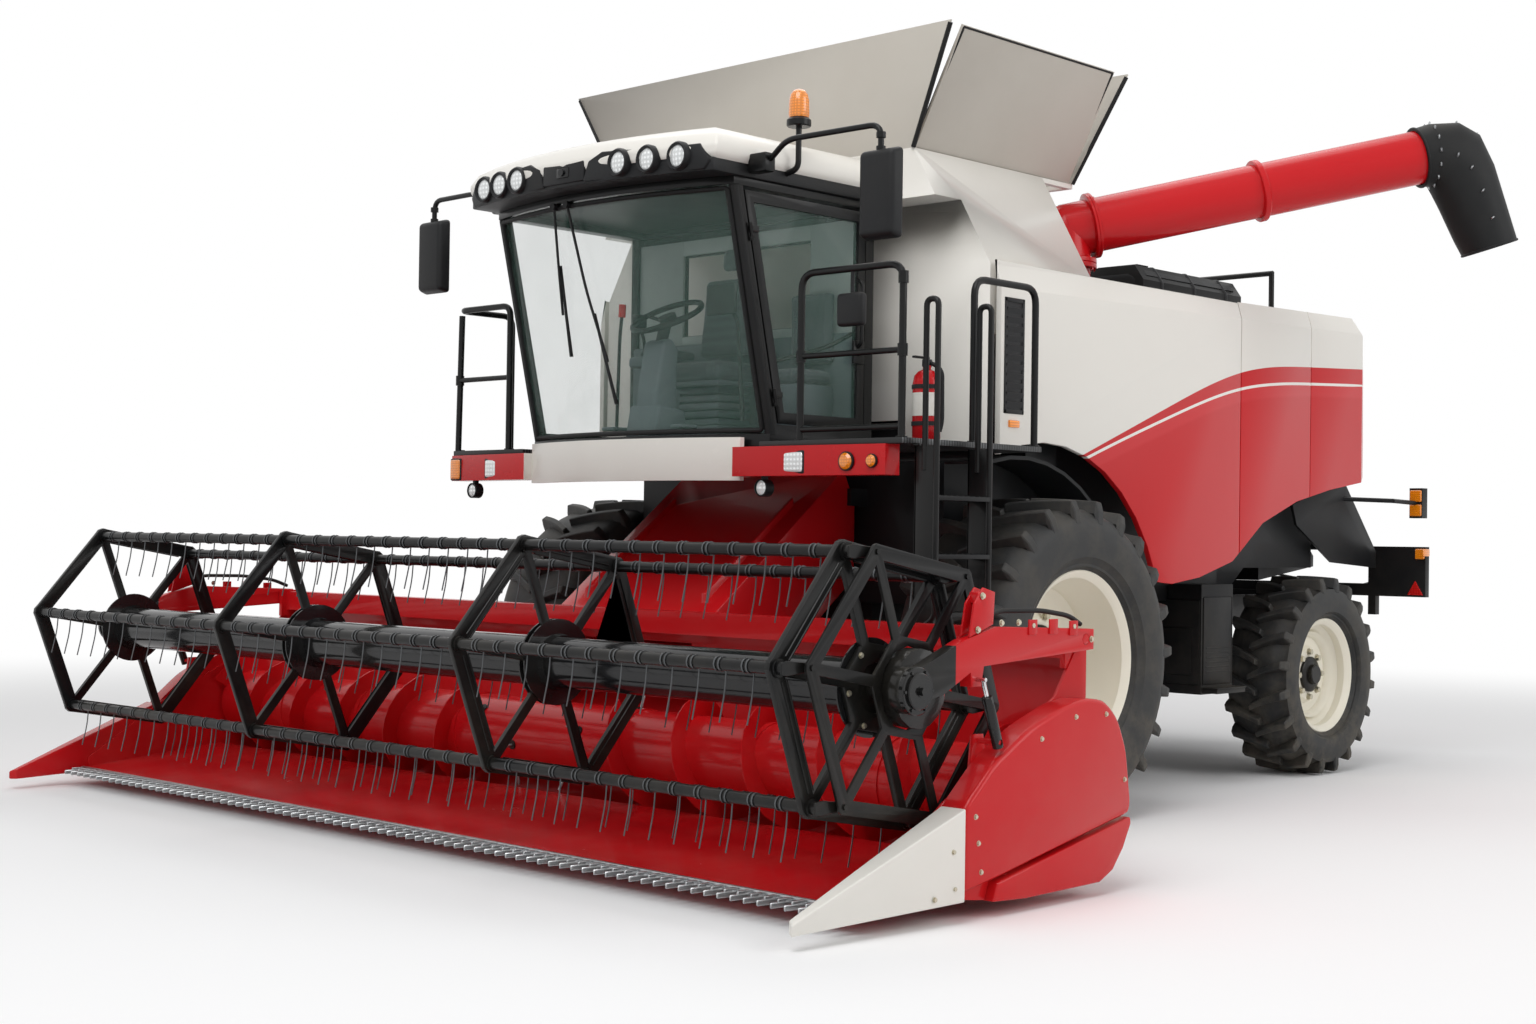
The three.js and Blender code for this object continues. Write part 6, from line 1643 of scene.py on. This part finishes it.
screen_wire = screen.surface({
    "Base Color": screen.blend(chaff * 0.6, screen.blend(mesh_lines, tone("0c0d0e"), tone("5a5d5e")), DUST),
    "Roughness": 0.6 + chaff * 0.3,
    "Normal": screen.bump(mesh_lines, 0.002, 0.7)})
netting = block(yz(-0.565, 1.36, deck_top + 0.03), yz(-0.545, 2.72, deck_top + 0.30), 0.006)
fit("cooler_screen", netting, screen_wire, "chassis", "galvanised_sheet")


# ---------------------------------------------------------------- frame, axles and housing
# Welded box beams and folded sheet, sprayed dark. The side boxes have folded doors with slats, and
# pipes run along the beams. Lamps, reflectors and a hitch pin stand at the tail.

for name in ("chassis_frame", "front_axle", "rear_axle", "rear_left_knuckle", "rear_right_knuckle",
             "straw_chopper"):
    finish_node(name, dark_steel, 0.005)
finish_node("threshing_housing", sprayed("housing_paint", tone("17181a"), 0.45, 0.1, 0.1), 0.005)

under = bmesh.new()
for side in (1, -1):
    for low, high, rounding in (
            ((1.13, 2.034, 0.66), (1.49, 2.041, 1.20), 0.008),
            ((1.499, 2.06, 0.66), (1.507, 2.40, 1.22), 0.008),
            ((1.435, 2.055, 0.638), (1.615, 2.405, 0.646), 0.002),
            ((1.18, 2.028, 0.72), (1.44, 2.036, 1.02), 0.008)):
        add(under, block(yz(side * low[0], *low[1:]), yz(side * high[0], *high[1:]), rounding))
    for n in range(6):
        z = 0.74 + n * 0.03
        lay_block(under, (side * 1.506 - 0.004, 2.09, z), (side * 1.506 + 0.004, 2.37, z + 0.01), 0.002, 1)
    thick = ((0.75, -0.1, 1.33), (0.76, 1.0, 1.35), (0.76, 3.2, 1.34), (0.5, 4.2, 1.36))
    thin = ((0.72, 0.1, 1.37), (0.70, 1.4, 1.385), (0.72, 3.6, 1.38))
    for radius, pipe in ((0.014, thick), (0.011, thin)):
        add(under, tube([yz(side * x, a, z) for x, a, z in pipe], radius, 0.1))
fit("side_box_doors", under, dark_steel, "chassis", "grey_paint")

tail, ambers, reds = bmesh.new(), bmesh.new(), bmesh.new()
rear = 4.94
for side in (1, -1):
    for bm, low, high in (
            (tail, (1.33, rear - 0.002, 1.38), (1.63, rear + 0.03, 1.54)),
            (reds, (1.345, rear + 0.02, 1.395), (1.42, rear + 0.042, 1.525)),
            (reds, (1.43, rear + 0.02, 1.395), (1.52, rear + 0.042, 1.525)),
            (ambers, (1.53, rear + 0.02, 1.395), (1.615, rear + 0.042, 1.525))):
        add(bm, block(yz(side * low[0], *low[1:]), yz(side * high[0], *high[1:]), 0.012, 3))
    for bm, low, high in (
            (reds, (1.545, 4.893, 1.79), (1.635, 4.911, 1.97)),
            (ambers, (1.545, 4.807, 1.89), (1.635, 4.825, 1.975)),
            (ambers, (1.545, 4.807, 1.785), (1.635, 4.825, 1.87)),
            (ambers, (1.634, 4.825, 1.49), (1.652, 4.93, 1.545)),
            (ambers, (1.565, 4.862, 1.47), (1.635, 4.884, 1.545))):
        add(bm, block(yz(side * low[0], *low[1:]), yz(side * high[0], *high[1:]), 0.008, 3))
    # The red triangles are reflectors, not lamps, so the glow that the red lens finish gives them is painted
    # light.
    for corners, start, end in ((((1.24, 1.22), (1.40, 1.22), (1.32, 1.355)), rear - 0.002, rear + 0.012),
                                (((1.505, 1.205), (1.625, 1.205), (1.565, 1.31)), 4.868, 4.882)):
        add(reds, plate([(side * x, z) for x, z in corners], "y", axle_y + start, axle_y + end, 0.003))
    loom = ((1.22, 4.95, 1.30), (1.0, 4.965, 1.24), (0.6, 4.955, 1.30), (0.1, 4.95, 1.38))
    add(tail, tube([yz(side * x, a, z) for x, a, z in loom], 0.009, 0.1))
lay_bar(tail, (0, 4.962, 1.25), (0, 4.962, 1.47), 0.022, 24)
lay_tube(tail, [(0.03, 4.962, 1.46), (0.08, 4.97, 1.49), (0.08, 4.97, 1.42)], 0.006, 0.02)
fit("tail_gear", tail, plastic, "chassis", "black_paint")
fit("tail_amber_lenses", ambers, amber_lens, "chassis", "trim_plastic")
fit("tail_red_lenses", reds, red_lens, "chassis", "trim_plastic")


# ---------------------------------------------------------------- side vents and lamps
# A black moulded vent strip with slats is let into the front of each side panel, with an amber
# side lamp under it. Both ride on the panel when it swings up.

for side, hand in ((1, "left"), (-1, "right")):
    name = f"side_panel_{hand}"
    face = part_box(name)[1].x if side > 0 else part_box(name)[0].x
    vent, lens = bmesh.new(), bmesh.new()
    for bm, under, over, low, high, rounding, segments in (
            (vent, 0.012, 0.006, (-0.26, 2.26), (-0.08, 2.285), 0.004, 2),
            (vent, 0.012, 0.006, (-0.26, 2.875), (-0.08, 2.90), 0.004, 2),
            (vent, 0.012, 0.006, (-0.26, 2.26), (-0.24, 2.90), 0.004, 2),
            (vent, 0.012, 0.006, (-0.10, 2.26), (-0.08, 2.90), 0.004, 2),
            (vent, 0.015, 0.002, (-0.245, 2.28), (-0.095, 2.88), 0.002, 2),
            (lens, 0.004, 0.014, (-0.215, 2.185), (-0.125, 2.225), 0.006, 3)):
        add(bm, block(yz(face - side * under, *low), yz(face + side * over, *high), rounding, segments))
    for n in range(11):
        slat = block((-0.004, -0.075, -0.018), (0.004, 0.075, 0.018), 0.002, 1)
        spot = shift(yz(face + side * 0.003, -0.17, 2.31 + n * 0.052))
        add(vent, slat, spot @ about("Y", side * radians(16)))
    fit(f"side_vent_{hand}", vent, plastic, name, "trim_plastic")
    fit(f"side_amber_{hand}", lens, amber_lens, name, "trim_plastic")
